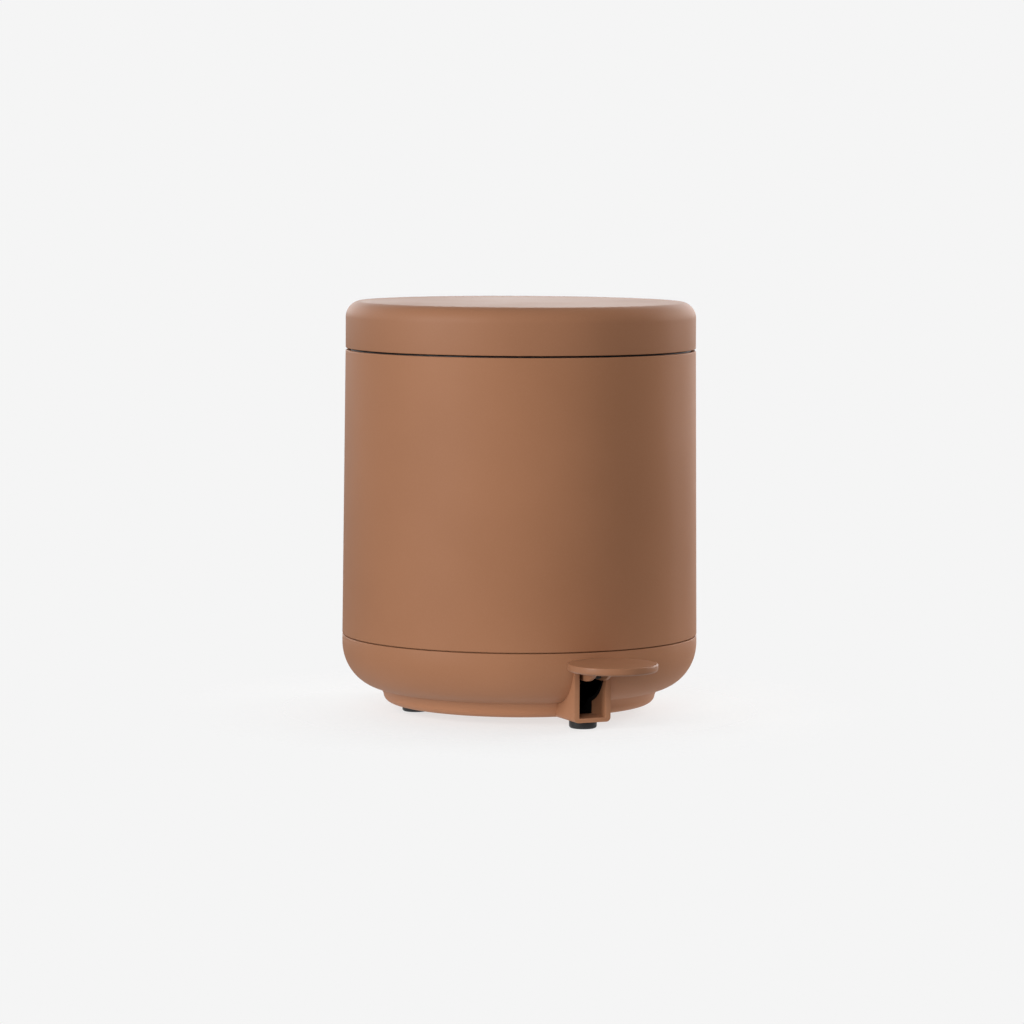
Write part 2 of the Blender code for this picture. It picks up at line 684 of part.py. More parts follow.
def make_lid_inner_panel():
    outer_r = 95.6
    panel_z = 214.6
    lip_inner = outer_r - 1.8
    profile = [
        (0, panel_z + 2.0),
        (lip_inner, panel_z + 2.0),
        (lip_inner, panel_z + 5.4),
        (outer_r, panel_z + 5.4),
        (outer_r, panel_z),
        (0, panel_z),
    ]
    panel = turned("panel_dish", profile)
    cut(panel, box("panel_gap", (-HOUSING_HALF - 2, 64, 205), (HOUSING_HALF + 2, 110, 225)))
    part("lid_inner_panel", panel, "black_plastic", lid_pivot)


def make_lid_bumpers():
    for number, angle in enumerate(BUMPER_ANGLES, 1):
        turn = math.radians(angle)
        x = 93.8 * math.sin(turn)
        y = -93.8 * math.cos(turn)
        profile = [(0, 214.3), (1.8, 214.3), (1.8, 213.2)]
        profile += arc((0.9, 213.2), 0.9, 0, -90, 2)
        profile += [(0, 212.3)]
        bumper = turned("bumper", profile, (x, y), steps=SCREW_STEPS)
        part(f"lid_bumper_{number}", bumper, "black_rubber", lid_pivot)


def arm_outline(crank_end_r=0.0):
    """The side of a lid arm, from its boss on the hinge pin up to the plate, with or without the crank."""
    hinge = (HINGE_Y, HINGE_Z)
    boss_r = 3.2
    back_edge = 1.5
    top_z = HINGE_Z + 16.4
    start = math.degrees(math.acos(back_edge / boss_r))
    if crank_end_r:
        along = CRANK_DROP - 180.0
        outline = arc(hinge, boss_r, start, along + 90, 6)
        outline += arc((CRANK_Y, CRANK_Z), crank_end_r, along + 90, along - 90, 8)
        outline += [(HINGE_Y - 4.8, HINGE_Z + 0.9)]
    else:
        outline = arc(hinge, boss_r, start, -180, 8)
    return outline + [(HINGE_Y - 10, top_z), (HINGE_Y + back_edge, top_z)]


def make_lid_hinge_bracket():
    """Two arms that turn on the hinge pin, and a crank between them for the push rod."""
    plate_low, plate_top = 221.0, 223.3
    bracket = box("bracket_plate", (-31, 66, plate_low), (31, 89.5, plate_top))
    for x in (-ARM_X, ARM_X):
        join(bracket, side_plate("arm", arm_outline(), x - ARM_HALF, x + ARM_HALF))
    join(bracket, side_plate("crank", arm_outline(crank_end_r=3.8), -CRANK_HALF, CRANK_HALF))
    cut(bracket, bar("hinge_bore", 1.65, (-26, HINGE_Y, HINGE_Z), (26, HINGE_Y, HINGE_Z)))
    cut(bracket, bar("crank_bore", 2.3, (-6, CRANK_Y, CRANK_Z), (6, CRANK_Y, CRANK_Z)))
    for x, y in LID_SCREWS:
        cut(bracket, bar("plate_hole", 1.55, (x, y, plate_low - 2), (x, y, plate_top + 2), SCREW_STEPS))
    part("lid_hinge_bracket", bracket, "dark_grey_plastic", lid_pivot)


def make_crank_pin():
    pin = bar("crank_pin_bar", 2.0, (-CRANK_HALF - 0.6, CRANK_Y, CRANK_Z), (10.4, CRANK_Y, CRANK_Z))
    part("crank_pin", pin, "zinc_plated_steel", lid_pivot)


def make_lid_screws():
    for number, (x, y) in enumerate(LID_SCREWS, 1):
        screw = make_screw((x, y, 220.7), (x, y, 226.5), 2.6, 1.25)
        part(f"lid_screw_{number}", screw, "zinc_plated_steel", lid_pivot)


# ---------------------------------------------------------------- assembly

clear_scene()
parts = new_collection("pedal_trash_can")
cutters = new_collection("cutters")
materials = {name: new_material(name) for name in FINISHES}

trash_can = new_empty("trash_can", (0, AXIS_BEHIND_CENTRE, 0))
can_pivot = new_empty("can_pivot", (0, 0, 0), trash_can)
lid_pivot = new_empty("lid_pivot", (0, HINGE_Y, HINGE_Z), trash_can)
pedal_pivot = new_empty("pedal_pivot", (0, PIVOT_Y, PIVOT_Z), trash_can)
rod_pivot = new_empty("rod_pivot", (ROD_X, ROD_Y, ROD_FOOT_Z), trash_can)

make_base_bowl()
make_feet()
make_outer_shell()
make_rim_ring()
make_hinge_housing()
make_hinge_pin_and_screws()
make_rod_cover()
make_rod_guides()
make_axle_and_clamps()
make_base_screws()
make_inner_bucket()
make_bucket_handle()
make_pedal_plate()
make_pedal_lever()
make_pedal_screw()
make_push_rod()
make_rod_yoke()
make_rod_clip()
make_lid_shell()
make_lid_inner_panel()
make_lid_bumpers()
make_lid_hinge_bracket()
make_crank_pin()
make_lid_screws()
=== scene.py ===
"""Looks of the pedal trash can: smooth shells, moulded plastic, rubber and zinc-plated steel.

Every piece is placed from its CAD node's box. Sizes are in millimetres, measured from the can's own
upright axis: the pedal is toward -Y and the lid's hinge toward +Y.
"""
import json
import math

import bmesh
import bpy
from mathutils import Matrix, Vector

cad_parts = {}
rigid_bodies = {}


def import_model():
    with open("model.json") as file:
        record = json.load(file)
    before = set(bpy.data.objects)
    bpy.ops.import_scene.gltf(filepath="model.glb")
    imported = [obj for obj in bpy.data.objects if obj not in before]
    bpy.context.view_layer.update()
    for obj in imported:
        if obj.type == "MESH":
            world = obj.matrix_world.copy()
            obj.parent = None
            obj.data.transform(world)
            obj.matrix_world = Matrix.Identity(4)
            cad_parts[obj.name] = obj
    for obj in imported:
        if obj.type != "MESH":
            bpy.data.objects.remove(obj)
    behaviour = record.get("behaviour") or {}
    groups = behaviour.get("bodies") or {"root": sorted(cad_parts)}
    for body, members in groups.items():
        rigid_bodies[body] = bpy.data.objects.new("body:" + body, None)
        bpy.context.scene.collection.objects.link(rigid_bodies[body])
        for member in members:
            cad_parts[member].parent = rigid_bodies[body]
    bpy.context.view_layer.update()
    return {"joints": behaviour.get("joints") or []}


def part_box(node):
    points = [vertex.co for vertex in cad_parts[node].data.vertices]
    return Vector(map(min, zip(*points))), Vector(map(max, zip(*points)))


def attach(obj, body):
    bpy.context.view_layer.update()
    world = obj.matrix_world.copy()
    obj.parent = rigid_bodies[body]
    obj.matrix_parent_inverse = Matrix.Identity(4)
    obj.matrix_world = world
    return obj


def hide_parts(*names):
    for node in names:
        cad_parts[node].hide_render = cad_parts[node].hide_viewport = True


for startup_object in list(bpy.data.objects):
    bpy.data.objects.remove(startup_object, do_unlink=True)
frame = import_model()

MM = 0.001
SHELL_STEPS = 192
ROUND_STEPS = 64
SMALL_STEPS = 32
WALL = 2.4
LID_WALL = 2.2
SHARP_ANGLE = math.radians(32)


# ---------------------------------------------------------------- places, read from the frame

shell_low, shell_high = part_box("outer_shell")
AXIS = Vector(((shell_low.x + shell_high.x) / 2, (shell_low.y + shell_high.y) / 2, 0.0))


class Span:
    """A CAD node's box in millimetres from the can's axis."""

    def __init__(self, node):
        low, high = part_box(node)
        self.low = (low - AXIS) / MM
        self.high = (high - AXIS) / MM
        self.mid = (self.low + self.high) / 2
        self.size = self.high - self.low


def joint_place(name):
    joint = next(joint for joint in frame["joints"] if joint["name"] == name)
    return (Vector(joint["pos_m"]) - AXIS) / MM


HINGE = joint_place("lid_hinge")
PIVOT = joint_place("pedal_hinge")
SHELL = Span("outer_shell")
BOWL = Span("base_bowl")
LID = Span("lid_shell")
RING = Span("rim_ring")
HOUSING = Span("hinge_housing")
BUCKET = Span("inner_bucket")
DISC = Span("pedal_plate")
YOKE = Span("rod_yoke")
CRANK_PIN = Span("crank_pin")
ROD = Span("push_rod")

BASE_R = SHELL.size.x / 2
LID_R = LID.size.x / 2
MOUTH_R = LID_R + 0.05
BOWL_TOP = BOWL.high.z
SHELL_BOTTOM = BOWL_TOP + 0.5
SHELL_TOP = SHELL.high.z
FOOT_H = BOWL.low.z
BRACKET_Y = BOWL.low.y
ROD_R = 1.5
ROD_X = ROD.high.x - ROD_R

FOOT_NODES = ("foot_front", "foot_left", "foot_right", "foot_rear")
HINGE_SCREWS = ("hinge_screw_left", "hinge_screw_right")
BASE_SCREWS = [f"base_screw_{number}" for number in range(1, 5)]
CLAMP_SCREWS = [f"clamp_screw_{number}" for number in range(1, 5)]
LID_SCREWS = [f"lid_screw_{number}" for number in range(1, 4)]


# ---------------------------------------------------------------- shape helpers

workshop = bpy.data.collections.new("workshop")
showroom = bpy.data.collections.new("pedal_trash_can")
for collection in (workshop, showroom):
    bpy.context.scene.collection.children.link(collection)


def raw(name, mesh):
    """An unfinished shape, moved from the can's axis to its place in the frame."""
    obj = bpy.data.objects.new(name, mesh)
    obj.location = AXIS
    workshop.objects.link(obj)
    return obj


def arc(centre, radius, start, end, steps):
    """Points on an arc, both ends included. Angles are in degrees from the first axis."""
    points = []
    for step in range(steps + 1):
        angle = math.radians(start + (end - start) * step / steps)
        points.append((centre[0] + radius * math.cos(angle), centre[1] + radius * math.sin(angle)))
    return points


def turned(name, profile, centre=(0.0, 0.0), steps=SHELL_STEPS, paint=None):
    """A (radius, height) profile turned about an upright axis. It runs down its outer side.

    A profile that starts and ends on the axis makes a solid, and any other makes a ring.
    """
    shape = bmesh.new()
    spots = [shape.verts.new((radius * MM, 0, height * MM)) for radius, height in profile]
    edges = [shape.edges.new(pair) for pair in zip(spots, spots[1:])]
    if profile[0][0] > 0:
        edges.append(shape.edges.new((spots[-1], spots[0])))
    bmesh.ops.spin(shape, geom=spots + edges, cent=(0, 0, 0), axis=(0, 0, 1), angle=math.tau, steps=steps,
                   use_merge=True)
    bmesh.ops.remove_doubles(shape, verts=shape.verts, dist=0.0000005)
    bmesh.ops.recalc_face_normals(shape, faces=shape.faces)
    bmesh.ops.translate(shape, verts=shape.verts, vec=(centre[0] * MM, centre[1] * MM, 0))
    return finished_mesh(name, shape, paint)


def finished_mesh(name, shape, paint=None):
    mesh = bpy.data.meshes.new(name)
    shape.to_mesh(mesh)
    shape.free()
    if paint:
        mesh.materials.append(paint)
    return raw(name, mesh)


def box(name, low, high, paint=None):
    low = Vector(low) * MM
    high = Vector(high) * MM
    shape = bmesh.new()
    bmesh.ops.create_cube(shape, size=1.0)
    place = Matrix.Translation((low + high) / 2) @ Matrix.Diagonal((*(high - low), 1.0))
    bmesh.ops.transform(shape, matrix=place, verts=shape.verts)
    return finished_mesh(name, shape, paint)


def bar(name, radius, start, end, steps=SMALL_STEPS, chamfer=0.0, paint=None):
    """A round bar between two points, with chamfered ends where a chamfer is given."""
    start = Vector(start)
    end = Vector(end)
    length = (end - start).length
    profile = [(0, length), (radius - chamfer, length), (radius, length - chamfer)]
    profile += [(radius, chamfer), (radius - chamfer, 0), (0, 0)]
    if not chamfer:
        profile = [(0, length), (radius, length), (radius, 0), (0, 0)]
    obj = turned(name, profile, steps=steps, paint=paint)
    turn = (end - start).to_track_quat("Z", "Y").to_matrix().to_4x4()
    obj.data.transform(Matrix.Translation(start * MM) @ turn)
    return obj


def plate(name, loops, low, high, turn, paint=None):
    """Flat outlines, thick from low to high. The second outline and any after it are holes."""
    curve = bpy.data.curves.new(name, "CURVE")
    curve.dimensions = "2D"
    curve.fill_mode = "BOTH"
    curve.extrude = abs(high - low) / 2 * MM
    for loop in loops:
        spline = curve.splines.new("POLY")
        spline.points.add(len(loop) - 1)
        for spot, (u, v) in zip(spline.points, loop):
            spot.co = (u * MM, v * MM, 0.0, 1.0)
        spline.use_cyclic_u = True
    middle = turn @ Vector((0.0, 0.0, (low + high) / 2 * MM))
    return curve_as_mesh(name, curve, Matrix.Translation(middle) @ turn, paint)


def curve_as_mesh(name, curve, place, paint=None):
    guide = bpy.data.objects.new(name, curve)
    workshop.objects.link(guide)
    graph = bpy.context.evaluated_depsgraph_get()
    mesh = bpy.data.meshes.new_from_object(guide.evaluated_get(graph))
    bpy.data.objects.remove(guide, do_unlink=True)
    mesh.transform(place)
    shape = bmesh.new()
    shape.from_mesh(mesh)
    bmesh.ops.remove_doubles(shape, verts=shape.verts, dist=0.0000005)
    bmesh.ops.recalc_face_normals(shape, faces=shape.faces)
    return finished_mesh(name, shape, paint)


ALONG_X = Matrix(((0, 0, 1, 0), (1, 0, 0, 0), (0, 1, 0, 0), (0, 0, 0, 1)))
ALONG_Y = Matrix(((1, 0, 0, 0), (0, 0, -1, 0), (0, 1, 0, 0), (0, 0, 0, 1)))


def side_plate(name, outline, x_low, x_high, paint=None):
    """A (y, z) outline with its thickness along X."""
    return plate(name, [outline], x_low, x_high, ALONG_X, paint)


def front_plate(name, loops, y_low, y_high, paint=None):
    """(x, z) outlines with their thickness along Y."""
    return plate(name, loops, -y_high, -y_low, ALONG_Y, paint)


def wire(name, radius, points, resolution=6):
    curve = bpy.data.curves.new(name, "CURVE")
    curve.dimensions = "3D"
    curve.bevel_depth = radius * MM
    curve.bevel_resolution = resolution
    curve.use_fill_caps = True
    spline = curve.splines.new("POLY")
    spline.points.add(len(points) - 1)
    for spot, place in zip(spline.points, points):
        spot.co = (*(Vector(place) * MM), 1.0)
    return curve_as_mesh(name, curve, Matrix.Identity(4))


def combine(shape, operation, tools):
    for other in tools:
        modifier = shape.modifiers.new(other.name, "BOOLEAN")
        modifier.operation = operation
        modifier.solver = "EXACT"
        modifier.material_mode = "TRANSFER"
        modifier.object = other
    return shape


def cut(shape, *tools):
    return combine(shape, "DIFFERENCE", tools)


def join(shape, *tools):
    return combine(shape, "UNION", tools)


def keep(shape, *tools):
    return combine(shape, "INTERSECT", tools)


def soften(shape, width, segments=2, angle=40):
    """Rounds the edges that are sharper than the angle."""
    bevel = shape.modifiers.new("Soften", "BEVEL")
    bevel.width = width * MM
    bevel.segments = segments
    bevel.limit_method = "ANGLE"
    bevel.angle_limit = math.radians(angle)
    bevel.use_clamp_overlap = True
    return shape


def show(name, shape, body, material, nodes):
    """Finishes a shape as a visible piece that rides on a body and stands for CAD nodes."""
    graph = bpy.context.evaluated_depsgraph_get()
    mesh = bpy.data.meshes.new_from_object(shape.evaluated_get(graph))
    mesh.transform(shape.matrix_world)
    if not mesh.materials:
        mesh.materials.append(material)
    for index, paint in enumerate(mesh.materials):
        mesh.materials[index] = paint or material
    mesh.shade_smooth()
    mesh.set_sharp_from_angle(angle=SHARP_ANGLE)
    for tool in list(workshop.objects):
        bpy.data.objects.remove(tool, do_unlink=True)
    piece = bpy.data.objects.new(name, mesh)
    showroom.objects.link(piece)
    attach(piece, body)
    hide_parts(*nodes)
    return piece


# ---------------------------------------------------------------- materials

class Shader:
    """A small builder for one procedural material."""

    def __init__(self, name, roughness, metallic=0.0):
        self.material = bpy.data.materials.new(name)
        self.material.use_nodes = True
        self.tree = self.material.node_tree
        self.surface = self.tree.nodes["Principled BSDF"]
        self.surface.inputs["Roughness"].default_value = roughness
        self.surface.inputs["Metallic"].default_value = metallic
        self.where = self.tree.nodes.new("ShaderNodeTexCoord").outputs["Object"]

    def link(self, source, target):
        self.tree.links.new(source, target)

    def noise(self, scale, detail=2.0, roughness=0.5, stretch=None):
        node = self.tree.nodes.new("ShaderNodeTexNoise")
        node.inputs["Scale"].default_value = scale
        node.inputs["Detail"].default_value = detail
        node.inputs["Roughness"].default_value = roughness
        if stretch:
            mapping = self.tree.nodes.new("ShaderNodeMapping")
            mapping.inputs["Scale"].default_value = stretch
            self.link(self.where, mapping.inputs["Vector"])
            self.link(mapping.outputs["Vector"], node.inputs["Vector"])
        else:
            self.link(self.where, node.inputs["Vector"])
        return node.outputs["Fac"]

    def remap(self, value, low, high, to_low, to_high):
        node = self.tree.nodes.new("ShaderNodeMapRange")
        node.inputs["From Min"].default_value = low
        node.inputs["From Max"].default_value = high
        node.inputs["To Min"].default_value = to_low
        node.inputs["To Max"].default_value = to_high
        self.link(value, node.inputs["Value"])
        return node.outputs["Result"]

    def blend(self, amount, first, second, mode="MIX"):
        node = self.tree.nodes.new("ShaderNodeMix")
        node.data_type = "RGBA"
        node.blend_type = mode
        if isinstance(amount, float):
            node.inputs[0].default_value = amount
        else:
            self.link(amount, node.inputs[0])
        for socket, value in ((node.inputs[6], first), (node.inputs[7], second)):
            if isinstance(value, tuple):
                socket.default_value = (*value, 1.0)
            else:
                self.link(value, socket)
        return node.outputs[2]

    def product(self, first, second):
        node = self.tree.nodes.new("ShaderNodeMath")
        node.operation = "MULTIPLY"
        self.link(first, node.inputs[0])
        self.link(second, node.inputs[1])
        return node.outputs[0]

    def edges(self, low=0.52, high=0.62):
        """Near 1 on worn convex edges and 0 on plain walls."""
        geometry = self.tree.nodes.new("ShaderNodeNewGeometry")
        return self.remap(geometry.outputs["Pointiness"], low, high, 0.0, 1.0)

    def bump(self, height, strength, distance, under=None):
        node = self.tree.nodes.new("ShaderNodeBump")
        node.inputs["Strength"].default_value = strength
        node.inputs["Distance"].default_value = distance
        self.link(height, node.inputs["Height"])
        if under:
            self.link(under, node.inputs["Normal"])
        return node.outputs["Normal"]

    def finish(self, colour, roughness, normal):
        self.link(colour, self.surface.inputs["Base Color"])
        self.link(roughness, self.surface.inputs["Roughness"])
        self.link(normal, self.surface.inputs["Normal"])
        return self.material


def plastic(name, deep, fair, worn, roughness, grain, gloss=0.5):
    """Moulded plastic: cloudy colour, a fine spark-eroded grain, and edges rubbed fairer."""
    shader = Shader(name, roughness)
    shader.surface.inputs["Specular IOR Level"].default_value = gloss
    cloud = shader.noise(14.0, detail=4.0)
    speck = shader.noise(1100.0, detail=2.0)
    colour = shader.blend(shader.remap(cloud, 0.35, 0.65, 0.0, 1.0), deep, fair)
    colour = shader.blend(shader.remap(speck, 0.45, 0.75, 0.0, 0.12), colour, worn)
    handling = shader.remap(shader.noise(60.0, detail=3.0), 0.4, 0.65, 0.1, 0.55)
    rubbed = shader.product(shader.edges(), handling)
    colour = shader.blend(rubbed, colour, worn)
    smear = shader.noise(9.0, detail=5.0, roughness=0.6)
    rough = shader.remap(smear, 0.3, 0.7, roughness - 0.05, roughness + 0.06)
    grain_height = shader.noise(1500.0, detail=3.0, roughness=0.6)
    wave = shader.noise(18.0, detail=1.0)
    normal = shader.bump(grain_height, grain, 0.00012, shader.bump(wave, 0.05, 0.0004))
    return shader.finish(colour, rough, normal)


def rubber(name):
    shader = Shader(name, 0.55)
    bloom = shader.noise(120.0, detail=4.0)
    dust = shader.noise(700.0, detail=3.0)
    cloud = shader.remap(bloom, 0.35, 0.7, 0.0, 1.0)
    colour = shader.blend(cloud, (0.007, 0.007, 0.008), (0.016, 0.016, 0.017))
    colour = shader.blend(shader.remap(dust, 0.6, 0.8, 0.0, 0.3), colour, (0.05, 0.048, 0.045))
    rough = shader.remap(bloom, 0.3, 0.7, 0.42, 0.66)
    normal = shader.bump(shader.noise(1900.0, detail=4.0), 0.25, 0.00015)
    return shader.finish(colour, rough, normal)


def steel(name):
    """Zinc-plated steel: a faint spangle, drawn lines along Z, and small roughness patches."""
    shader = Shader(name, 0.3, metallic=1.0)
    spangle = shader.noise(420.0, detail=3.0)
    lines = shader.noise(1400.0, detail=2.0, stretch=(1.0, 1.0, 0.06))
    colour = shader.blend(shader.remap(spangle, 0.35, 0.65, 0.0, 1.0), (0.46, 0.47, 0.48), (0.66, 0.66, 0.64))
    colour = shader.blend(shader.remap(lines, 0.5, 0.8, 0.0, 0.35), colour, (0.36, 0.36, 0.37))
    rough = shader.remap(spangle, 0.3, 0.7, 0.22, 0.42)
    normal = shader.bump(lines, 0.15, 0.00005)
    return shader.finish(colour, rough, normal)


def grey(value):
    return value, value, value


BROWN_TONES = ((0.335, 0.151, 0.077), (0.355, 0.161, 0.083), (0.42, 0.21, 0.12))
BODY_TONES = ((0.346, 0.156, 0.079), (0.366, 0.166, 0.085), (0.42, 0.21, 0.12))
BLACK_TONES = ((0.011, 0.011, 0.012), (0.017, 0.017, 0.018), (0.05, 0.05, 0.05))
GREY_TONES = ((0.038, 0.037, 0.036), (0.052, 0.05, 0.049), (0.1, 0.1, 0.1))

BROWN = plastic("satin_brown", *BODY_TONES, 0.56, 0.16, gloss=0.28)
LID_BROWN = plastic("polished_brown", *BROWN_TONES, 0.54, 0.16, gloss=0.42)
PEDAL_BROWN = plastic("rubbed_brown", *BROWN_TONES, 0.42, 0.1)
BLACK = plastic("black_moulding", *BLACK_TONES, 0.46, 0.35)
# Near-black matte paint: the bowl's inside, taken as unpainted black plastic, and painted shade deep in the
# pedal's slot.
INNER_BLACK_AND_SHADE = plastic("inner_black_and_painted_shade", grey(0.006), grey(0.009), grey(0.02), 0.85, 0.2, gloss=0.1)
GREY = plastic("dark_grey_moulding", *GREY_TONES, 0.48, 0.3)
RUBBER = rubber("black_rubber")
STEEL = steel("zinc_steel")
# Painted shade: near-black, non-metallic paint for the pedal screw, which sits in the shade under the disc.
SCREW_SHADE_BLACK = plastic("pedal_screw_painted_shade", grey(0.008), grey(0.014), grey(0.04), 0.6, 0.1, gloss=0.3)


# ---------------------------------------------------------------- outer body

INNER_BELLY_R = 24.0
INNER_BELLY_Z = 38.6
BELLY_REACH = 23.4
BELLY_DROP = 25.6
BELLY_Z = 38.4
RING_R = 76.7
RING_EDGE = 4.4
STEP_CURVE = ((79.1, 12.87), (78.8, 12.7), (78.5, 12.4), (78.2, 12.0))
SEAM_EDGE = 0.55
SLOT_HALF = 7.85
SLOT_TOP = BOWL.high.z - 7.35
BRACKET_HALF = 10.8
BRACKET_FACE_Y = BRACKET_Y + 0.6
BRACKET_BACK_Y = -68.0
SLOT_SHADE_Y = -81.6
SLOT_BACK_Y = -60.0
FLOOR_Z = FOOT_H + WALL
POST = 38.0


def oval(centre, reach, rise, start, end, steps):
    """Points on part of an ellipse. Its angles are those of the circle that it is stretched from."""
    return [(centre[0] + reach * u, centre[1] + rise * v) for u, v in arc((0, 0), 1.0, start, end, steps)]


def bowl_profile(inset=0.0):
    """The bowl's outer side: a rounded seam edge, the belly, a soft step and the standing ring."""
    radius = BASE_R - inset
    profile = [(0, BOWL_TOP)]
    profile += arc((radius - SEAM_EDGE, BOWL_TOP - SEAM_EDGE), SEAM_EDGE, 90, 0, 4)
    profile += oval((BASE_R - BELLY_REACH, BELLY_Z), BELLY_REACH - inset, BELLY_DROP - inset, 0, -83, 26)
    profile += [(x - inset, z) for x, z in STEP_CURVE]
    profile += arc((RING_R - RING_EDGE, FOOT_H + RING_EDGE), RING_EDGE - inset, 0, -90, 12)
    profile += [(0, FOOT_H + inset)]
    return profile


def bracket_frame():
    """The pedal's bracket: a rounded frame, let into the bowl's skin, round a slot whose walls are painted
    with shade from SLOT_SHADE_Y back.
    """
    corner = 2.5
    top = SLOT_TOP + WALL
    outline = [(BRACKET_HALF, top), (-BRACKET_HALF, top)]
    outline += arc((corner - BRACKET_HALF, FOOT_H + corner), corner, 180, 270, 8)
    outline += arc((BRACKET_HALF - corner, FOOT_H + corner), corner, 270, 360, 8)
    slot = [(-SLOT_HALF, SLOT_TOP), (SLOT_HALF, SLOT_TOP), (SLOT_HALF, FLOOR_Z), (-SLOT_HALF, FLOOR_Z)]
    bracket = soften(front_plate("bracket", [outline, slot], BRACKET_FACE_Y, BRACKET_BACK_Y), 0.4, 3)
    cut(bracket, turned("bracket_limit", bowl_profile(inset=0.35), steps=96))
    # Painted shade: the slot's walls turn near-black from SLOT_SHADE_Y back, where shade falls inside the
    # slot.
    shade = 0.12
    shade_low = (-SLOT_HALF - shade, SLOT_SHADE_Y, FLOOR_Z - shade)
    shade_high = (SLOT_HALF + shade, SLOT_BACK_Y, SLOT_TOP + shade)
    cut(bracket, box("slot_shade", shade_low, shade_high, paint=INNER_BLACK_AND_SHADE))
    return bracket


def make_base_bowl():
    """The lower bowl with the bracket, the axle saddles, the screw seats and the feet's recesses."""
    skin = BASE_R - WALL
    hollow = [(0, BOWL_TOP + 10), (skin, BOWL_TOP + 10)]
    hollow += arc((skin - INNER_BELLY_R, INNER_BELLY_Z), INNER_BELLY_R, 0, -70, 14)
    hollow += [(76.5, 14.6), (74.2, 11.5), (68.0, FLOOR_Z), (0, FLOOR_Z)]
    bowl = turned("bowl", bowl_profile(), paint=BROWN)
    # The bowl's inside and the slot's way through it take the near-black paint: black plastic inside, and
    # painted shade in the slot.
    cut(bowl, turned("bowl_hollow", hollow, steps=96, paint=INNER_BLACK_AND_SHADE))
    clear = 0.25
    slot_low = (-SLOT_HALF - clear, BRACKET_Y - 4, FLOOR_Z - clear)
    slot_high = (SLOT_HALF + clear, SLOT_BACK_Y, SLOT_TOP + clear)
    cut(bowl, box("slot_way", slot_low, slot_high, paint=INNER_BLACK_AND_SHADE))
    join(bowl, bracket_frame())
    for side in (-1, 1):
        low_x, high_x = sorted((side * 13.0, side * 19.0))
        join(bowl, box("saddle", (low_x, PIVOT.y - 9, FOOT_H + 1.5), (high_x, PIVOT.y + 9, PIVOT.z), INNER_BLACK_AND_SHADE))
    cut(bowl, bar("axle_notch", 2.3, (-24, PIVOT.y, PIVOT.z), (24, PIVOT.y, PIVOT.z), paint=INNER_BLACK_AND_SHADE))
    for x in (-POST, POST):
        for y in (-POST, POST):
            join(bowl, bar("screw_seat", 6.0, (x, y, FOOT_H + 1), (x, y, 10), paint=INNER_BLACK_AND_SHADE))
            cut(bowl, bar("counterbore", 3.6, (x, y, FOOT_H - 1), (x, y, 7.5)))
            cut(bowl, bar("screw_way", 1.9, (x, y, FOOT_H - 1), (x, y, 12)))
    for node in FOOT_NODES:
        foot = Span(node)
        x, y = foot.mid.x, foot.mid.y
        cut(bowl, bar("foot_recess", 8.0, (x, y, 0), (x, y, FOOT_H + 1), 48))
    show("bowl_moulding", bowl, "can_body", BROWN, ["base_bowl"])


def make_feet():
    for node in FOOT_NODES:
        foot = Span(node)
        radius = foot.size.x / 2
        top = foot.high.z
        profile = [(0, top)]
        profile += arc((radius - 0.35, top - 0.35), 0.35, 90, 0, 3)
        profile += arc((radius - 1.5, 1.4), 1.4, -4, -90, 7)
        profile += [(4.6, 0.0), (4.3, 0.35), (3.3, 0.35), (3.0, 0.0), (0, 0.0)]
        shape = turned("foot", profile, (foot.mid.x, foot.mid.y), ROUND_STEPS)
        show(f"rubber_{node}", shape, "can_body", RUBBER, [node])


def make_outer_shell():
    """The tapered wall, rounded at both seams, with its floor, spigot, screw posts and hinge bosses."""
    outer_low = BASE_R
    outer_top = MOUTH_R
    floor = SHELL_BOTTOM + 0.25
    spigot = BASE_R - WALL - 0.4
    edge = SEAM_EDGE
    lip = 0.7
    profile = [(0, floor + WALL)]
    profile += arc((outer_low - WALL - 1.5, floor + WALL + 1.5), 1.5, -90, 0, 4)
    profile += [(outer_top - WALL, SHELL_TOP - lip)]
    profile += arc((outer_top - WALL + lip, SHELL_TOP - lip), lip, 180, 90, 4)
    profile += arc((outer_top - lip, SHELL_TOP - lip), lip, 90, 0, 5)
    profile += arc((outer_low - edge, SHELL_BOTTOM + edge), edge, 0, -90, 4)
    profile += [
        (spigot, SHELL_BOTTOM),
        (spigot, BOWL_TOP - 3.9),
        (spigot - 0.4, BOWL_TOP - 4.25),
        (spigot - 2.0, BOWL_TOP - 4.25),
        (spigot - 2.0, floor),
        (0, floor),
    ]
    shell = turned("shell", profile, paint=BROWN)
    for x in (-POST, POST):
        for y in (-POST, POST):
            join(shell, bar("screw_post", 4.2, (x, y, 10.3), (x, y, floor + 1), chamfer=0.3))
            cut(shell, bar("post_hole", 1.75, (x, y, 8), (x, y, 30)))
    for node in HINGE_SCREWS:
        screw = Span(node)
        x, z = screw.mid.x, screw.mid.z
        join(shell, bar("hinge_boss", 4.0, (x, 91.5, z), (x, 94.6, z)))
        cut(shell, bar("hinge_hole", 1.55, (x, 89, z), (x, 94.9, z)))
    cut(shell, bar("rod_way", 3.2, (ROD_X, ROD.mid.y, floor - 4), (ROD_X, ROD.mid.y, floor + 6)))
    show("outer_wall", shell, "can_body", BROWN, ["outer_shell"])


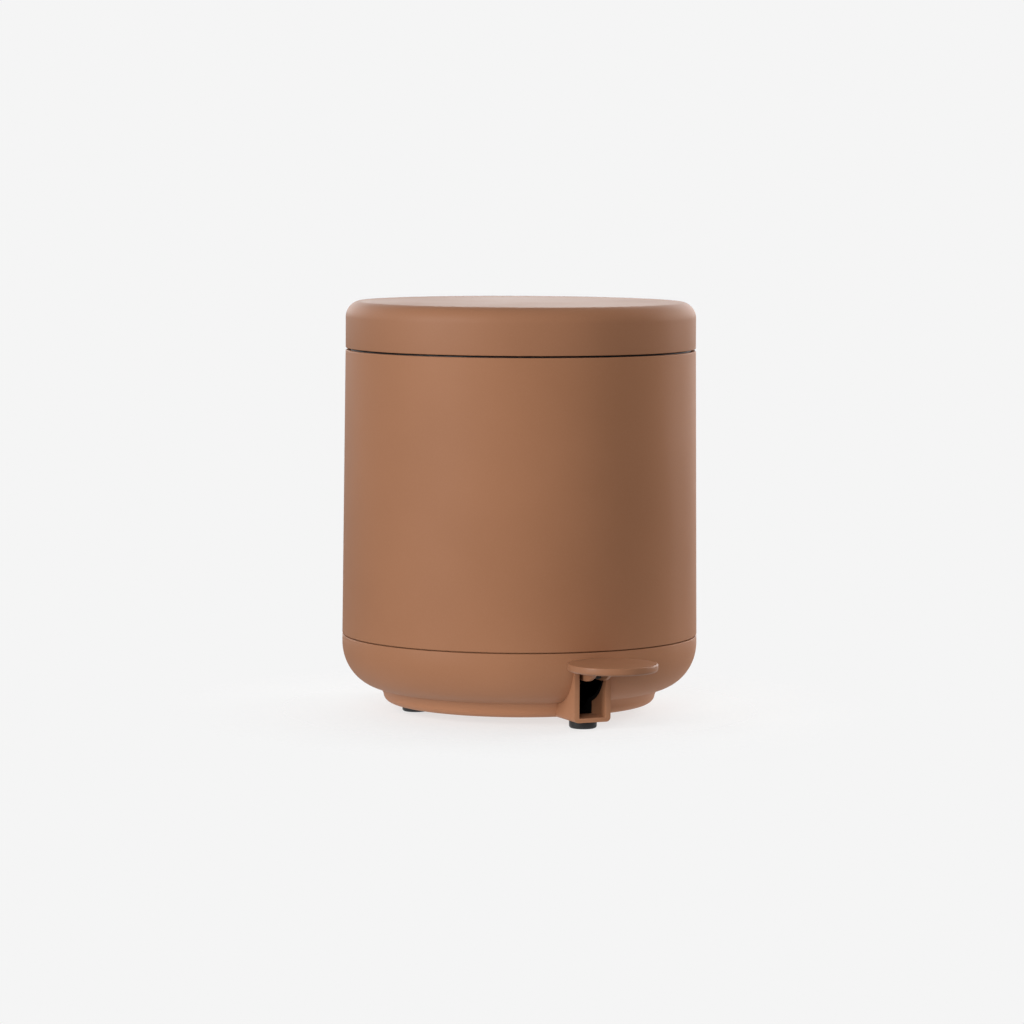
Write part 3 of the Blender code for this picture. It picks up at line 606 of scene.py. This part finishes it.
def make_rim_ring():
    """The black ring in the mouth, with a rounded top bead and the ledge under the bucket's rim."""
    top = RING.high.z
    inner = 92.6
    outer = 95.0
    bead = (outer - inner) / 2
    profile = arc((inner + bead, top - bead), bead, 90, 0, 6)
    profile += [(outer, 204.0), (95.6, 203.4), (95.6, RING.low.z + 0.5), (95.1, RING.low.z)]
    profile += [(94.3, RING.low.z), (93.8, RING.low.z + 0.5), (93.8, 199.6)]
    profile += arc((91.0, 200.0), 0.4, 270, 180, 3)
    profile += arc((91.0, 201.2), 0.4, 180, 90, 3)
    profile += arc((inner - 0.6, 202.2), 0.6, -90, 0, 3)
    profile += arc((inner + bead, top - bead), bead, 180, 96, 6)
    ring = turned("ring", profile)
    gap = HOUSING.high.x + 1
    cut(ring, box("ring_gap", (-gap, 60, 190), (gap, 110, 216)))
    show("mouth_ring", soften(ring, 0.25), "can_body", BLACK, ["rim_ring"])


def make_lid_shell():
    """The lid: a flat top, a rounded shoulder and a skirt that is cut away round the hinge's housing."""
    fillet = 9.2
    crease = 74
    shoulder_r = LID_R - fillet
    shoulder_z = LID.high.z - fillet * math.sin(math.radians(crease))
    flat_r = shoulder_r + fillet * math.cos(math.radians(crease))
    skirt_z = LID.low.z
    inner_r = fillet - LID_WALL
    edge = 0.5
    profile = [(0, LID.high.z), (flat_r * 0.5, LID.high.z), (flat_r - 2.0, LID.high.z)]
    profile += arc((shoulder_r, shoulder_z), fillet, crease, 0, 20)
    profile += arc((LID_R - edge, skirt_z + edge), edge, 0, -90, 4)
    profile += arc((LID_R - LID_WALL + edge, skirt_z + edge), edge, -90, -180, 4)
    profile += arc((shoulder_r, shoulder_z), inner_r, 0, 90, 8)
    profile += [(0, shoulder_z + inner_r)]
    lid = turned("lid", profile, paint=LID_BROWN)
    gap = HOUSING.high.x + 0.6
    cut(lid, box("housing_gap", (-gap, 80, 198), (gap, 106, HINGE.z + 10.8)))
    for node in LID_SCREWS:
        screw = Span(node)
        x, y = screw.mid.x, screw.mid.y
        join(lid, bar("lid_boss", 4.0, (x, y, 223.6), (x, y, LID.high.z - 1.0)))
        cut(lid, bar("lid_hole", 1.55, (x, y, 221), (x, y, 227.0)))
    soften(lid, 0.35, 2, angle=50)
    show("lid_moulding", lid, "lid", LID_BROWN, ["lid_shell"])


# ---------------------------------------------------------------- pedal

def make_pedal_plate():
    """The round disc with its crisp rim, and the two ribs that grip the lever."""
    radius = DISC.size.x / 2
    centre_y = DISC.low.y + radius
    top = DISC.high.z
    low = top - 4.2
    profile = [(0, top)]
    profile += arc((radius - 0.7, top - 0.7), 0.7, 90, 0, 5)
    profile += arc((radius - 1.5, low + 1.5), 1.5, 0, -90, 7)
    profile += [(0, low)]
    disc = turned("disc", profile, (0, centre_y), 128)
    outline = [(-94.0, 35.0), (-102.5, 35.0), (-102.5, 36.6), (-120.0, 36.6), (-120.0, 35.0)]
    outline += arc((-101.5, 46.1), 18.5, -143, -90, 14)
    outline += [(-94.0, 27.6)]
    for side in (-1, 1):
        low_x, high_x = sorted((side * 3.7, side * 5.5))
        join(disc, soften(side_plate("rib", outline, low_x, high_x), 0.3))
    screw = Span("pedal_screw")
    cut(disc, bar("disc_hole", 1.55, (0, screw.mid.y, low - 4), (0, screw.mid.y, top - 1.5)))
    show("pedal_disc", disc, "pedal", PEDAL_BROWN, ["pedal_plate"])


def make_pedal_lever():
    """The moulded lever with its boss, its eye and lightening pockets along both sides."""
    half = 3.4
    rod_y, rod_z = Span("rod_clip").mid.y, Span("rod_clip").mid.z
    nose_top = DISC.high.z - 5.0
    outline = [(-113.0, nose_top), (-113.0, 33.4), (-108.5, 31.0), (-101.8, 31.0), (-100.6, 29.5)]
    outline += [(-90.0, 28.5), (PIVOT.y - 10, 23.8), (PIVOT.y + 10, 23.2), (rod_y - 6, rod_z - 4.2)]
    outline += arc((rod_y, rod_z), 4.5, -90, 90, 16)
    outline += [(rod_y - 6, rod_z + 4.2), (PIVOT.y + 10, 34.6), (PIVOT.y - 10, nose_top)]
    lever = soften(side_plate("lever", outline, -half, half), 0.35)
    front_pocket = [(-84, 32.8), (-25, 32.8), (-25, 26.4), (-84, 30.2)]
    rear_pocket = [(2, 31.6), (66, 24.2), (66, 20.4), (2, 25.4)]
    for pocket in (front_pocket, rear_pocket):
        for side in (-1, 1):
            low_x, high_x = sorted((side * 1.6, side * 4.5))
            cut(lever, side_plate("pocket", pocket, low_x, high_x))
    join(lever, bar("boss", 6.5, (-12, PIVOT.y, PIVOT.z), (12, PIVOT.y, PIVOT.z), 48, chamfer=0.5))
    cut(lever, bar("bore", 2.15, (-14, PIVOT.y, PIVOT.z), (14, PIVOT.y, PIVOT.z)))
    cut(lever, bar("eye", 1.95, (-6, rod_y, rod_z), (6, rod_y, rod_z)))
    screw = Span("pedal_screw")
    cut(lever, bar("screw_hole", 1.55, (0, screw.mid.y, 28), (0, screw.mid.y, 38)))
    show("lever_moulding", lever, "pedal", BLACK, ["pedal_lever"])


# ---------------------------------------------------------------- fixed inner parts

def ball_corner(before, corner, after, radius, steps=6):
    """Points on an arc that rounds the corner between two straight legs."""
    corner = Vector(corner)
    leg_in = (Vector(before) - corner).normalized()
    leg_out = (Vector(after) - corner).normalized()
    half = leg_in.angle(leg_out) / 2
    centre = corner + (leg_in + leg_out).normalized() * (radius / math.sin(half))
    first = corner + leg_in * (radius / math.tan(half)) - centre
    last = corner + leg_out * (radius / math.tan(half)) - centre
    turn = first.angle_signed(last)
    return [tuple(centre + Matrix.Rotation(-turn * step / steps, 2) @ first) for step in range(steps + 1)]


def make_screw(node, body, facing, shank_r, material):
    """A pan-head screw with a cross recess and thread ridges. Its head looks the way it faces."""
    span = Span(node)
    facing = Vector(facing)
    reach = abs(span.size.dot(facing))
    head_r = (sum(span.size) - reach) / 4
    head_height, pitch = 1.6, 0.9
    under = reach - head_height
    core_r = shank_r - 0.28
    profile = [(0, reach), (head_r * 0.6, reach - 0.1), (head_r * 0.86, reach - 0.35), (head_r, reach - 0.95)]
    profile += [(head_r, under + 0.1), (head_r - 0.1, under)]
    profile += [(shank_r + 0.05, under), (shank_r - 0.2, under - 0.4)]
    turns = int((under - 1.6) / pitch)
    for number in range(turns):
        root = under - 0.6 - number * pitch
        crest = root - pitch / 2
        profile += [(core_r, root), (shank_r, crest + 0.08), (shank_r, crest - 0.08)]
    profile += [(core_r, under - 0.6 - turns * pitch), (0.25, 0.0), (0, 0)]
    screw = turned(node, profile, steps=SMALL_STEPS)
    half, wide, deep = head_r * 0.55, 0.34, 0.9
    cut(screw, box("recess_1", (-half, -wide, reach - deep), (half, wide, reach + 1)))
    cut(screw, box("recess_2", (-wide, -half, reach - deep), (wide, half, reach + 1)))
    turn = facing.to_track_quat("Z", "Y").to_matrix().to_4x4()
    end = span.mid - facing * (reach / 2)
    for tool in [screw] + [modifier.object for modifier in screw.modifiers]:
        tool.data.transform(Matrix.Translation(end * MM) @ turn)
    show(f"{node}_steel", screw, body, material, [node])


def make_hinge_housing():
    """The fixed hinge block: a barrel with two arm slots and the crank's slot, flush with the lid."""
    barrel_r = 10.0
    front_y = 87.5
    half = HOUSING.high.x
    low_z = HOUSING.low.z
    meets = math.degrees(math.acos((front_y - HINGE.y) / barrel_r))
    outline = [(front_y, low_z)] + arc((HINGE.y, HINGE.z), barrel_r, -meets, -360, 48) + [(104.0, low_z)]
    block = side_plate("block", outline, -half, half)
    step_z = SHELL_TOP + 0.3
    skin_r = LID_R - 0.05
    skin = [(0, 220), (skin_r, 220), (skin_r, step_z + 0.4), (skin_r - 0.4, step_z)]
    skin += [(95.7, step_z), (95.7, low_z - 4), (0, low_z - 4)]
    keep(block, turned("housing_skin", skin, steps=SHELL_STEPS + 48))
    for side in (-1, 1):
        low_x, high_x = sorted((side * 15.6, side * 23.4))
        cut(block, box("arm_slot", (low_x, 78, HINGE.z - 6.1), (high_x, 104, 218)))
    cut(block, box("crank_slot", (-4.4, 78, 196.0), (11.4, 104, 218)))
    soften(block, 0.45, 3, angle=35)
    cut(block, bar("pin_bore", 1.8, (-27.8, HINGE.y, HINGE.z), (27.8, HINGE.y, HINGE.z)))
    for node in HINGE_SCREWS:
        screw = Span(node)
        x, z = screw.mid.x, screw.mid.z
        cut(block, bar("housing_hole", 1.8, (x, 85, z), (x, 93, z)))
        cut(block, bar("boss_pocket", 4.4, (x, 91.2, z), (x, 100, z)))
    show("housing_moulding", block, "can_body", BROWN, ["hinge_housing"])


def make_steel_pin(node, body, chamfer=0.3):
    """A plain steel pin along X, chamfered at both ends."""
    span = Span(node)
    ends = (span.low.x, span.mid.y, span.mid.z), (span.high.x, span.mid.y, span.mid.z)
    pin = bar(node, span.size.z / 2, *ends, steps=48, chamfer=chamfer)
    show(f"{node}_steel", pin, body, STEEL, [node])


def make_rod_cover():
    """The channel in front of the push rod, open at its back and top, with two long stiffening ribs."""
    cover = Span("rod_cover")
    wall = 1.6
    shape = soften(box("cover", cover.low, cover.high), 1.1, 3)
    inner_low = (cover.low.x + wall, cover.low.y + wall, cover.low.z - 6)
    cut(shape, box("cover_inside", inner_low, (cover.high.x - wall, cover.high.y + 4, cover.high.z + 6)))
    cut(shape, box("cover_step", (-36, 76, 182), (36, cover.high.y + 4, 210)))
    for x in (-16.0, 16.0):
        rib_low = (x - 0.7, cover.low.y + wall - 0.3, cover.low.z + 4)
        join(shape, box("rib", rib_low, (x + 0.7, cover.low.y + wall + 1.5, 176)))
    show("cover_channel", shape, "can_body", BLACK, ["rod_cover"])


def make_rod_guides():
    for node in ("rod_guide_lower", "rod_guide_upper"):
        span = Span(node)
        guide = soften(box("guide", span.low, span.high), 0.5, 3)
        ends = (ROD_X, ROD.mid.y, span.low.z - 2), (ROD_X, ROD.mid.y, span.high.z + 2)
        cut(guide, bar("guide_bore", 1.9, *ends))
        show(f"{node}_block", guide, "can_body", BLACK, [node])


def make_axle_clamps():
    """The caps over the lever's axle, each notched for the axle and with two screw holes."""
    for node in ("axle_clamp_left", "axle_clamp_right"):
        span = Span(node)
        clamp = soften(box("clamp", span.low, span.high), 0.5, 3)
        ends = (span.low.x - 3, PIVOT.y, PIVOT.z), (span.high.x + 3, PIVOT.y, PIVOT.z)
        cut(clamp, bar("clamp_notch", 2.3, *ends))
        x = span.mid.x
        for y in (PIVOT.y - 6.3, PIVOT.y + 6.3):
            cut(clamp, bar("clamp_hole", 1.55, (x, y, span.low.z - 2), (x, y, span.high.z + 2)))
        show(f"{node}_cap", clamp, "can_body", BLACK, [node])


# ---------------------------------------------------------------- bucket

def bucket_outline(offset):
    """The bucket seen from above: a circle with a recess at the back for the linkage."""
    radius = 90.0 + offset
    recess_half = 38.0 - offset
    recess_y = 69.0 + offset
    mouth_y = math.sqrt(radius ** 2 - recess_half ** 2)
    mouth_angle = math.degrees(math.atan2(mouth_y, recess_half))
    circle = arc((0, 0), radius, mouth_angle - 4, -180 - mouth_angle + 4, 150)
    right, left = (recess_half, mouth_y), (-recess_half, mouth_y)
    deep_right, deep_left = (recess_half, recess_y), (-recess_half, recess_y)
    outline = circle + ball_corner(circle[-1], left, deep_left, 3.0)
    outline += ball_corner(left, deep_left, deep_right, 4.0)
    outline += ball_corner(deep_left, deep_right, right, 4.0)
    return outline + ball_corner(deep_right, right, circle[0], 3.0)


def make_inner_bucket():
    """The lift-out bucket: tapered, with rounded floor edges, a rolled rim and two lugs for its bail."""
    low = BUCKET.low.z
    rim = 203.9
    levels = [(-9.0, low + 0.3), (-7.0, low), (-6.2, low + 0.3), (-5.0, low + 1.6), (-4.3, low + 3.6)]
    levels += [(0.0, 201.6), (0.4, 201.9), (1.9, 201.9), (2.3, 202.3), (2.3, rim - 0.5), (1.8, rim)]
    levels += [(-1.3, rim), (-1.8, rim - 0.5), (-6.0, low + 4.4), (-6.8, low + 3.0), (-8.5, low + 2.2)]
    shape = bmesh.new()
    loops = []
    for offset, height in levels:
        loops.append([shape.verts.new(Vector((x, y, height)) * MM) for x, y in bucket_outline(offset)])
    for lower, upper in zip(loops, loops[1:]):
        for index in range(len(lower)):
            following = (index + 1) % len(lower)
            shape.faces.new((lower[index], upper[index], upper[following], lower[following]))
    shape.faces.new(loops[0])
    shape.faces.new(loops[-1][::-1])
    bmesh.ops.recalc_face_normals(shape, faces=shape.faces)
    bucket = finished_mesh("bucket", shape)
    lug_y, lug_z = 6.0, 205.7
    for side in (-1, 1):
        low_x, high_x = sorted((side * 86.2, side * 88.4))
        lug = soften(box("lug", (low_x, 2.5, 198.0), (high_x, 9.5, BUCKET.high.z)), 0.6, 3)
        join(bucket, lug)
        cut(bucket, bar("lug_hole", 1.6, (side * 84, lug_y, lug_z), (side * 91, lug_y, lug_z)))
    show("bucket_moulding", bucket, "can_body", GREY, ["inner_bucket"])


def make_bucket_handle():
    """The wire bail round the front of the rim, with its ends bent in through the lugs."""
    lug_y, ring_r, bend = 6.0, 90.3, 2.0
    side_x = math.sqrt(ring_r ** 2 - lug_y ** 2)
    start = math.degrees(math.asin((lug_y - bend) / ring_r))
    route = [(84.6, lug_y)] + arc((side_x - bend, lug_y - bend), bend, 90, 0, 8)
    route += arc((0, 0), ring_r, start - 1.5, -178.5 - start, 120)
    route += arc((bend - side_x, lug_y - bend), bend, 180, 90, 8) + [(-84.6, lug_y)]
    bail = wire("bail", 1.25, [(x, y, 205.7) for x, y in route])
    show("bail_wire", bail, "can_body", STEEL, ["bucket_handle"])


# ---------------------------------------------------------------- push rod

def make_push_rod():
    """The steel rod, with its lower end bent over to go through the lever's eye."""
    bend = 2.0
    foot_z = ROD.low.z + ROD_R
    route = [(ROD.low.x, foot_z)]
    route += arc((ROD_X - bend, foot_z + bend), bend, -90, 0, 12)
    route += [(ROD_X, ROD.high.z)]
    shape = wire("rod", ROD_R, [(x, ROD.mid.y, z) for x, z in route])
    show("push_rod_wire", shape, "push_rod_group", STEEL, ["push_rod"])


def make_rod_yoke():
    """The block on top of the rod, with a long slot that the lid's crank pin runs in."""
    slot_half, slot_reach = 2.35, 4.0
    yoke = soften(box("yoke", YOKE.low, YOKE.high), 0.6, 3)
    run = slot_reach - slot_half
    z = CRANK_PIN.mid.z
    y = YOKE.mid.y
    outline = arc((y + run, z), slot_half, -90, 90, 16) + arc((y - run, z), slot_half, 90, 270, 16)
    cut(yoke, side_plate("yoke_slot", outline, YOKE.low.x - 3, YOKE.high.x + 3))
    ends = (ROD_X, ROD.mid.y, YOKE.low.z - 3), (ROD_X, ROD.mid.y, ROD.high.z + 0.3)
    cut(yoke, bar("yoke_bore", 1.8, *ends))
    show("yoke_block", yoke, "push_rod_group", BLACK, ["rod_yoke"])


def make_rod_clip():
    """A spring ring on the rod's foot, with a gap at its top."""
    clip = Span("rod_clip")
    y, z = clip.mid.y, clip.mid.z
    ring = bar("clip", clip.size.z / 2, (clip.low.x, y, z), (clip.high.x, y, z), 48, chamfer=0.15)
    cut(ring, bar("clip_bore", 1.8, (clip.low.x - 2, y, z), (clip.high.x + 2, y, z)))
    cut(ring, box("clip_gap", (clip.low.x - 1, y - 0.5, z), (clip.high.x + 1, y + 0.5, z + 6)))
    show("rod_clip_ring", ring, "push_rod_group", STEEL, ["rod_clip"])


# ---------------------------------------------------------------- lid's inner parts

def make_lid_inner_panel():
    """The dished panel under the lid, with a rounded rim and a shallow ring pressed into it."""
    panel = Span("lid_inner_panel")
    outer_r = panel.size.x / 2
    low = panel.low.z
    top = low + 5.4
    lip = outer_r - 1.8
    profile = [(0, low + 2.0), (lip - 0.6, low + 2.0), (lip, low + 2.6), (lip, top - 0.4), (lip + 0.4, top)]
    profile += [(outer_r - 0.4, top), (outer_r, top - 0.4)]
    profile += arc((outer_r - 1.2, low + 1.2), 1.2, 0, -90, 6)
    profile += [(72.0, low), (71.4, low + 0.6), (68.0, low + 0.6), (67.4, low), (0, low)]
    shape = turned("panel", profile)
    gap = HOUSING.high.x + 2
    cut(shape, box("panel_gap", (-gap, 64, 205), (gap, 110, 225)))
    show("panel_moulding", soften(shape, 0.25, 2, 50), "lid", BLACK, ["lid_inner_panel"])


def make_lid_bumpers():
    for number in range(1, 5):
        node = f"lid_bumper_{number}"
        bumper = Span(node)
        radius = 1.8
        low = bumper.low.z
        profile = [(0, bumper.high.z), (radius, bumper.high.z), (radius, low + 0.9)]
        profile += arc((radius - 0.9, low + 0.9), 0.9, 0, -90, 6) + [(0, low)]
        shape = turned("bumper", profile, (bumper.mid.x, bumper.mid.y), SMALL_STEPS)
        show(f"{node}_rubber", shape, "lid", RUBBER, [node])


def arm_outline(crank_end_r=0.0):
    """The side of a lid arm from its boss on the hinge pin up to the plate, with or without the crank."""
    hinge = (HINGE.y, HINGE.z)
    crank = (CRANK_PIN.mid.y, CRANK_PIN.mid.z)
    boss_r, back_edge = 3.2, 1.5
    top = HINGE.z + 16.4
    start = math.degrees(math.acos(back_edge / boss_r))
    if crank_end_r:
        along = math.degrees(math.atan2(crank[1] - hinge[1], crank[0] - hinge[0]))
        outline = arc(hinge, boss_r, start, along + 90, 12)
        outline += arc(crank, crank_end_r, along + 90, along - 90, 20)
        outline += [(hinge[0] - 4.8, hinge[1] + 0.9)]
    else:
        outline = arc(hinge, boss_r, start, -180, 20)
    return outline + [(hinge[0] - 10, top), (hinge[0] + back_edge, top)]


def make_lid_hinge_bracket():
    """The plate under the lid with its two arms on the hinge pin, the crank and two ribs."""
    plate_low, plate_top = 221.0, 223.3
    bracket = soften(box("plate", (-31, 66, plate_low), (31, 89.5, plate_top)), 0.5, 3)
    for x in (-19.5, 19.5):
        join(bracket, soften(side_plate("arm", arm_outline(), x - 3.5, x + 3.5), 0.35))
    join(bracket, soften(side_plate("crank", arm_outline(crank_end_r=3.8), -3.0, 3.0), 0.35))
    for x in (-10.0, 10.0):
        join(bracket, box("rib", (x - 0.8, 70, plate_low - 1.6), (x + 0.8, 86, plate_low + 1)))
    hinge_ends = (-26, HINGE.y, HINGE.z), (26, HINGE.y, HINGE.z)
    crank_y, crank_z = CRANK_PIN.mid.y, CRANK_PIN.mid.z
    cut(bracket, bar("hinge_bore", 1.65, *hinge_ends))
    cut(bracket, bar("crank_bore", 2.3, (-6, crank_y, crank_z), (6, crank_y, crank_z)))
    for node in LID_SCREWS:
        screw = Span(node)
        x, y = screw.mid.x, screw.mid.y
        cut(bracket, bar("plate_hole", 1.55, (x, y, plate_low - 3), (x, y, plate_top + 2)))
    show("bracket_moulding", bracket, "lid", GREY, ["lid_hinge_bracket"])


# ---------------------------------------------------------------- assembly

make_base_bowl()
make_feet()
make_outer_shell()
make_rim_ring()
make_hinge_housing()
make_rod_cover()
make_rod_guides()
make_axle_clamps()
make_inner_bucket()
make_bucket_handle()
make_pedal_plate()
make_pedal_lever()
make_push_rod()
make_rod_yoke()
make_rod_clip()
make_lid_shell()
make_lid_inner_panel()
make_lid_bumpers()
make_lid_hinge_bracket()
for pin_node, pin_body in (("hinge_pin", "can_body"), ("lever_axle", "can_body"), ("crank_pin", "lid")):
    make_steel_pin(pin_node, pin_body)
for screw_node in BASE_SCREWS:
    make_screw(screw_node, "can_body", (0, 0, -1), 1.4, STEEL)
for screw_node in CLAMP_SCREWS:
    make_screw(screw_node, "can_body", (0, 0, 1), 1.25, STEEL)
for screw_node in HINGE_SCREWS:
    make_screw(screw_node, "can_body", (0, -1, 0), 1.25, STEEL)
# The pedal screw under the disc is drawn near-black, as painted shade.
make_screw("pedal_screw", "pedal", (0, 0, -1), 1.25, SCREW_SHADE_BLACK)
for screw_node in LID_SCREWS:
    make_screw(screw_node, "lid", (0, 0, -1), 1.25, STEEL)


# ---------------------------------------------------------------- floor, world, lights and camera

BACKDROP = 0.913
FLOOR_GLOW = 1.08
FLOOR_GLOW_SHARE = 0.6
FLOOR_MELT = (0.07, 0.20)
WALL_GLOW = 3.2
ROOM_GLOW = 0.2


def make_floor():
    """A pale, plain floor that takes a soft shadow near the can and melts into the backdrop."""
    shape = bmesh.new()
    bmesh.ops.create_circle(shape, cap_ends=True, radius=2.0, segments=96)
    mesh = bpy.data.meshes.new("floor")
    shape.to_mesh(mesh)
    shape.free()
    floor = bpy.data.objects.new("floor", mesh)
    floor.location = AXIS
    bpy.context.scene.collection.objects.link(floor)
    shader = Shader("pale_floor", 0.9)
    tree = shader.tree
    speck = shader.remap(shader.noise(90.0, detail=3.0), 0.3, 0.7, 0.0, 1.0)
    shader.link(shader.blend(speck, grey(0.79), grey(0.81)), shader.surface.inputs["Base Color"])
    glow = tree.nodes.new("ShaderNodeEmission")
    glow.inputs["Strength"].default_value = FLOOR_GLOW
    lit = tree.nodes.new("ShaderNodeMixShader")
    lit.inputs["Fac"].default_value = FLOOR_GLOW_SHARE
    shader.link(shader.surface.outputs["BSDF"], lit.inputs[1])
    shader.link(glow.outputs["Emission"], lit.inputs[2])
    distance = tree.nodes.new("ShaderNodeVectorMath")
    distance.operation = "LENGTH"
    shader.link(shader.where, distance.inputs[0])
    clear = tree.nodes.new("ShaderNodeBsdfTransparent")
    melt = tree.nodes.new("ShaderNodeMixShader")
    shader.link(shader.remap(distance.outputs["Value"], *FLOOR_MELT, 0.0, 1.0), melt.inputs["Fac"])
    shader.link(lit.outputs["Shader"], melt.inputs[1])
    shader.link(clear.outputs["BSDF"], melt.inputs[2])
    shader.link(melt.outputs["Shader"], tree.nodes["Material Output"].inputs["Surface"])
    mesh.materials.append(shader.material)


def make_world():
    """A plain backdrop for the camera. For the light it is a dim room with a glowing wall behind the can."""
    world = bpy.data.worlds.new("studio")
    bpy.context.scene.world = world
    world.use_nodes = True
    tree = world.node_tree

    def ramp(value, low, high, to_low, to_high):
        node = tree.nodes.new("ShaderNodeMapRange")
        node.interpolation_type = "SMOOTHSTEP"
        for socket, number in zip(("From Min", "From Max", "To Min", "To Max"), (low, high, to_low, to_high)):
            node.inputs[socket].default_value = number
        tree.links.new(value, node.inputs["Value"])
        return node.outputs["Result"]

    def multiply(first, second):
        node = tree.nodes.new("ShaderNodeMath")
        node.operation = "MULTIPLY"
        tree.links.new(first, node.inputs[0])
        tree.links.new(second, node.inputs[1])
        return node.outputs[0]

    direction = tree.nodes.new("ShaderNodeTexCoord").outputs["Generated"]
    split = tree.nodes.new("ShaderNodeSeparateXYZ")
    tree.links.new(direction, split.inputs["Vector"])
    behind = tree.nodes.new("ShaderNodeVectorMath")
    behind.operation = "DOT_PRODUCT"
    behind.inputs[1].default_value = FORWARD
    tree.links.new(direction, behind.inputs[0])
    height = split.outputs["Z"]
    wall = ramp(behind.outputs["Value"], 0.2, 0.9, 0.0, WALL_GLOW)
    wall = multiply(wall, ramp(height, 0.0, 0.06, 0.0, 1.0))
    wall = multiply(wall, ramp(height, 0.3, 0.6, 1.0, 0.1))
    room = tree.nodes.new("ShaderNodeMath")
    room.inputs[1].default_value = ROOM_GLOW
    tree.links.new(wall, room.inputs[0])
    path = tree.nodes.new("ShaderNodeLightPath")
    choose = tree.nodes.new("ShaderNodeMix")
    choose.data_type = "FLOAT"
    choose.inputs[3].default_value = BACKDROP
    tree.links.new(path.outputs["Is Camera Ray"], choose.inputs[0])
    tree.links.new(room.outputs[0], choose.inputs[2])
    tree.links.new(choose.outputs[0], tree.nodes["Background"].inputs["Strength"])
    tree.nodes["Background"].inputs["Color"].default_value = (1.0, 1.0, 1.0, 1.0)


VIEW_ANGLE = math.radians(23.6)
CAMERA_DISTANCE = 2.33
CAMERA_HEIGHT = 0.3136
FORWARD = Vector((math.sin(VIEW_ANGLE), math.cos(VIEW_ANGLE), 0.0))
RIGHT = Vector((FORWARD.y, -FORWARD.x, 0.0))


def place_area(name, turn, distance, height, width, tall, power, mirrored=True):
    """A soft box on a circle round the can. Turn 0 is behind the camera, and it grows to the right.

    One that is not mirrored lights the plastic but leaves no highlight on it.
    """
    angle = math.radians(turn)
    spot = AXIS - FORWARD * math.cos(angle) * distance + RIGHT * math.sin(angle) * distance
    light = bpy.data.lights.new(name, "AREA")
    light.shape = "RECTANGLE"
    light.size = width
    light.size_y = tall
    light.energy = power
    lamp = bpy.data.objects.new(name, light)
    lamp.location = spot + Vector((0, 0, height))
    aim = AXIS + Vector((0, 0, 0.12)) - lamp.location
    lamp.rotation_euler = aim.to_track_quat("-Z", "Y").to_euler()
    lamp.visible_glossy = mirrored
    bpy.context.scene.collection.objects.link(lamp)


def place_camera():
    """A long lens, well away from the can and a little above its lid, with a slight roll."""
    camera = bpy.data.cameras.new("camera")
    camera.lens = 145.8
    camera.sensor_width = 36.0
    camera.dof.use_dof = False
    camera.clip_end = 200.0
    place = bpy.data.objects.new("camera", camera)
    place.location = AXIS - FORWARD * CAMERA_DISTANCE + Vector((0, 0, CAMERA_HEIGHT))
    aim = AXIS - RIGHT * 0.0045 + Vector((0, 0, 0.1113))
    roll = Matrix.Rotation(math.radians(0.27), 3, "Z").to_quaternion()
    place.rotation_mode = "QUATERNION"
    place.rotation_quaternion = (aim - place.location).to_track_quat("-Z", "Y") @ roll
    bpy.context.scene.collection.objects.link(place)
    bpy.context.scene.camera = place


make_floor()
make_world()
place_area("key_left", -54, 2.0, 0.7, 0.7, 1.3, 21.0)
place_area("fill_front", -8, 2.4, 0.8, 0.9, 1.2, 29.0, mirrored=False)
place_area("side_right", 122, 1.5, 0.4, 0.6, 1.3, 19.0, mirrored=False)
place_area("rim_right", 158, 1.6, 0.4, 0.4, 1.2, 2.2)
place_camera()
bpy.context.scene.view_settings.view_transform = "Standard"
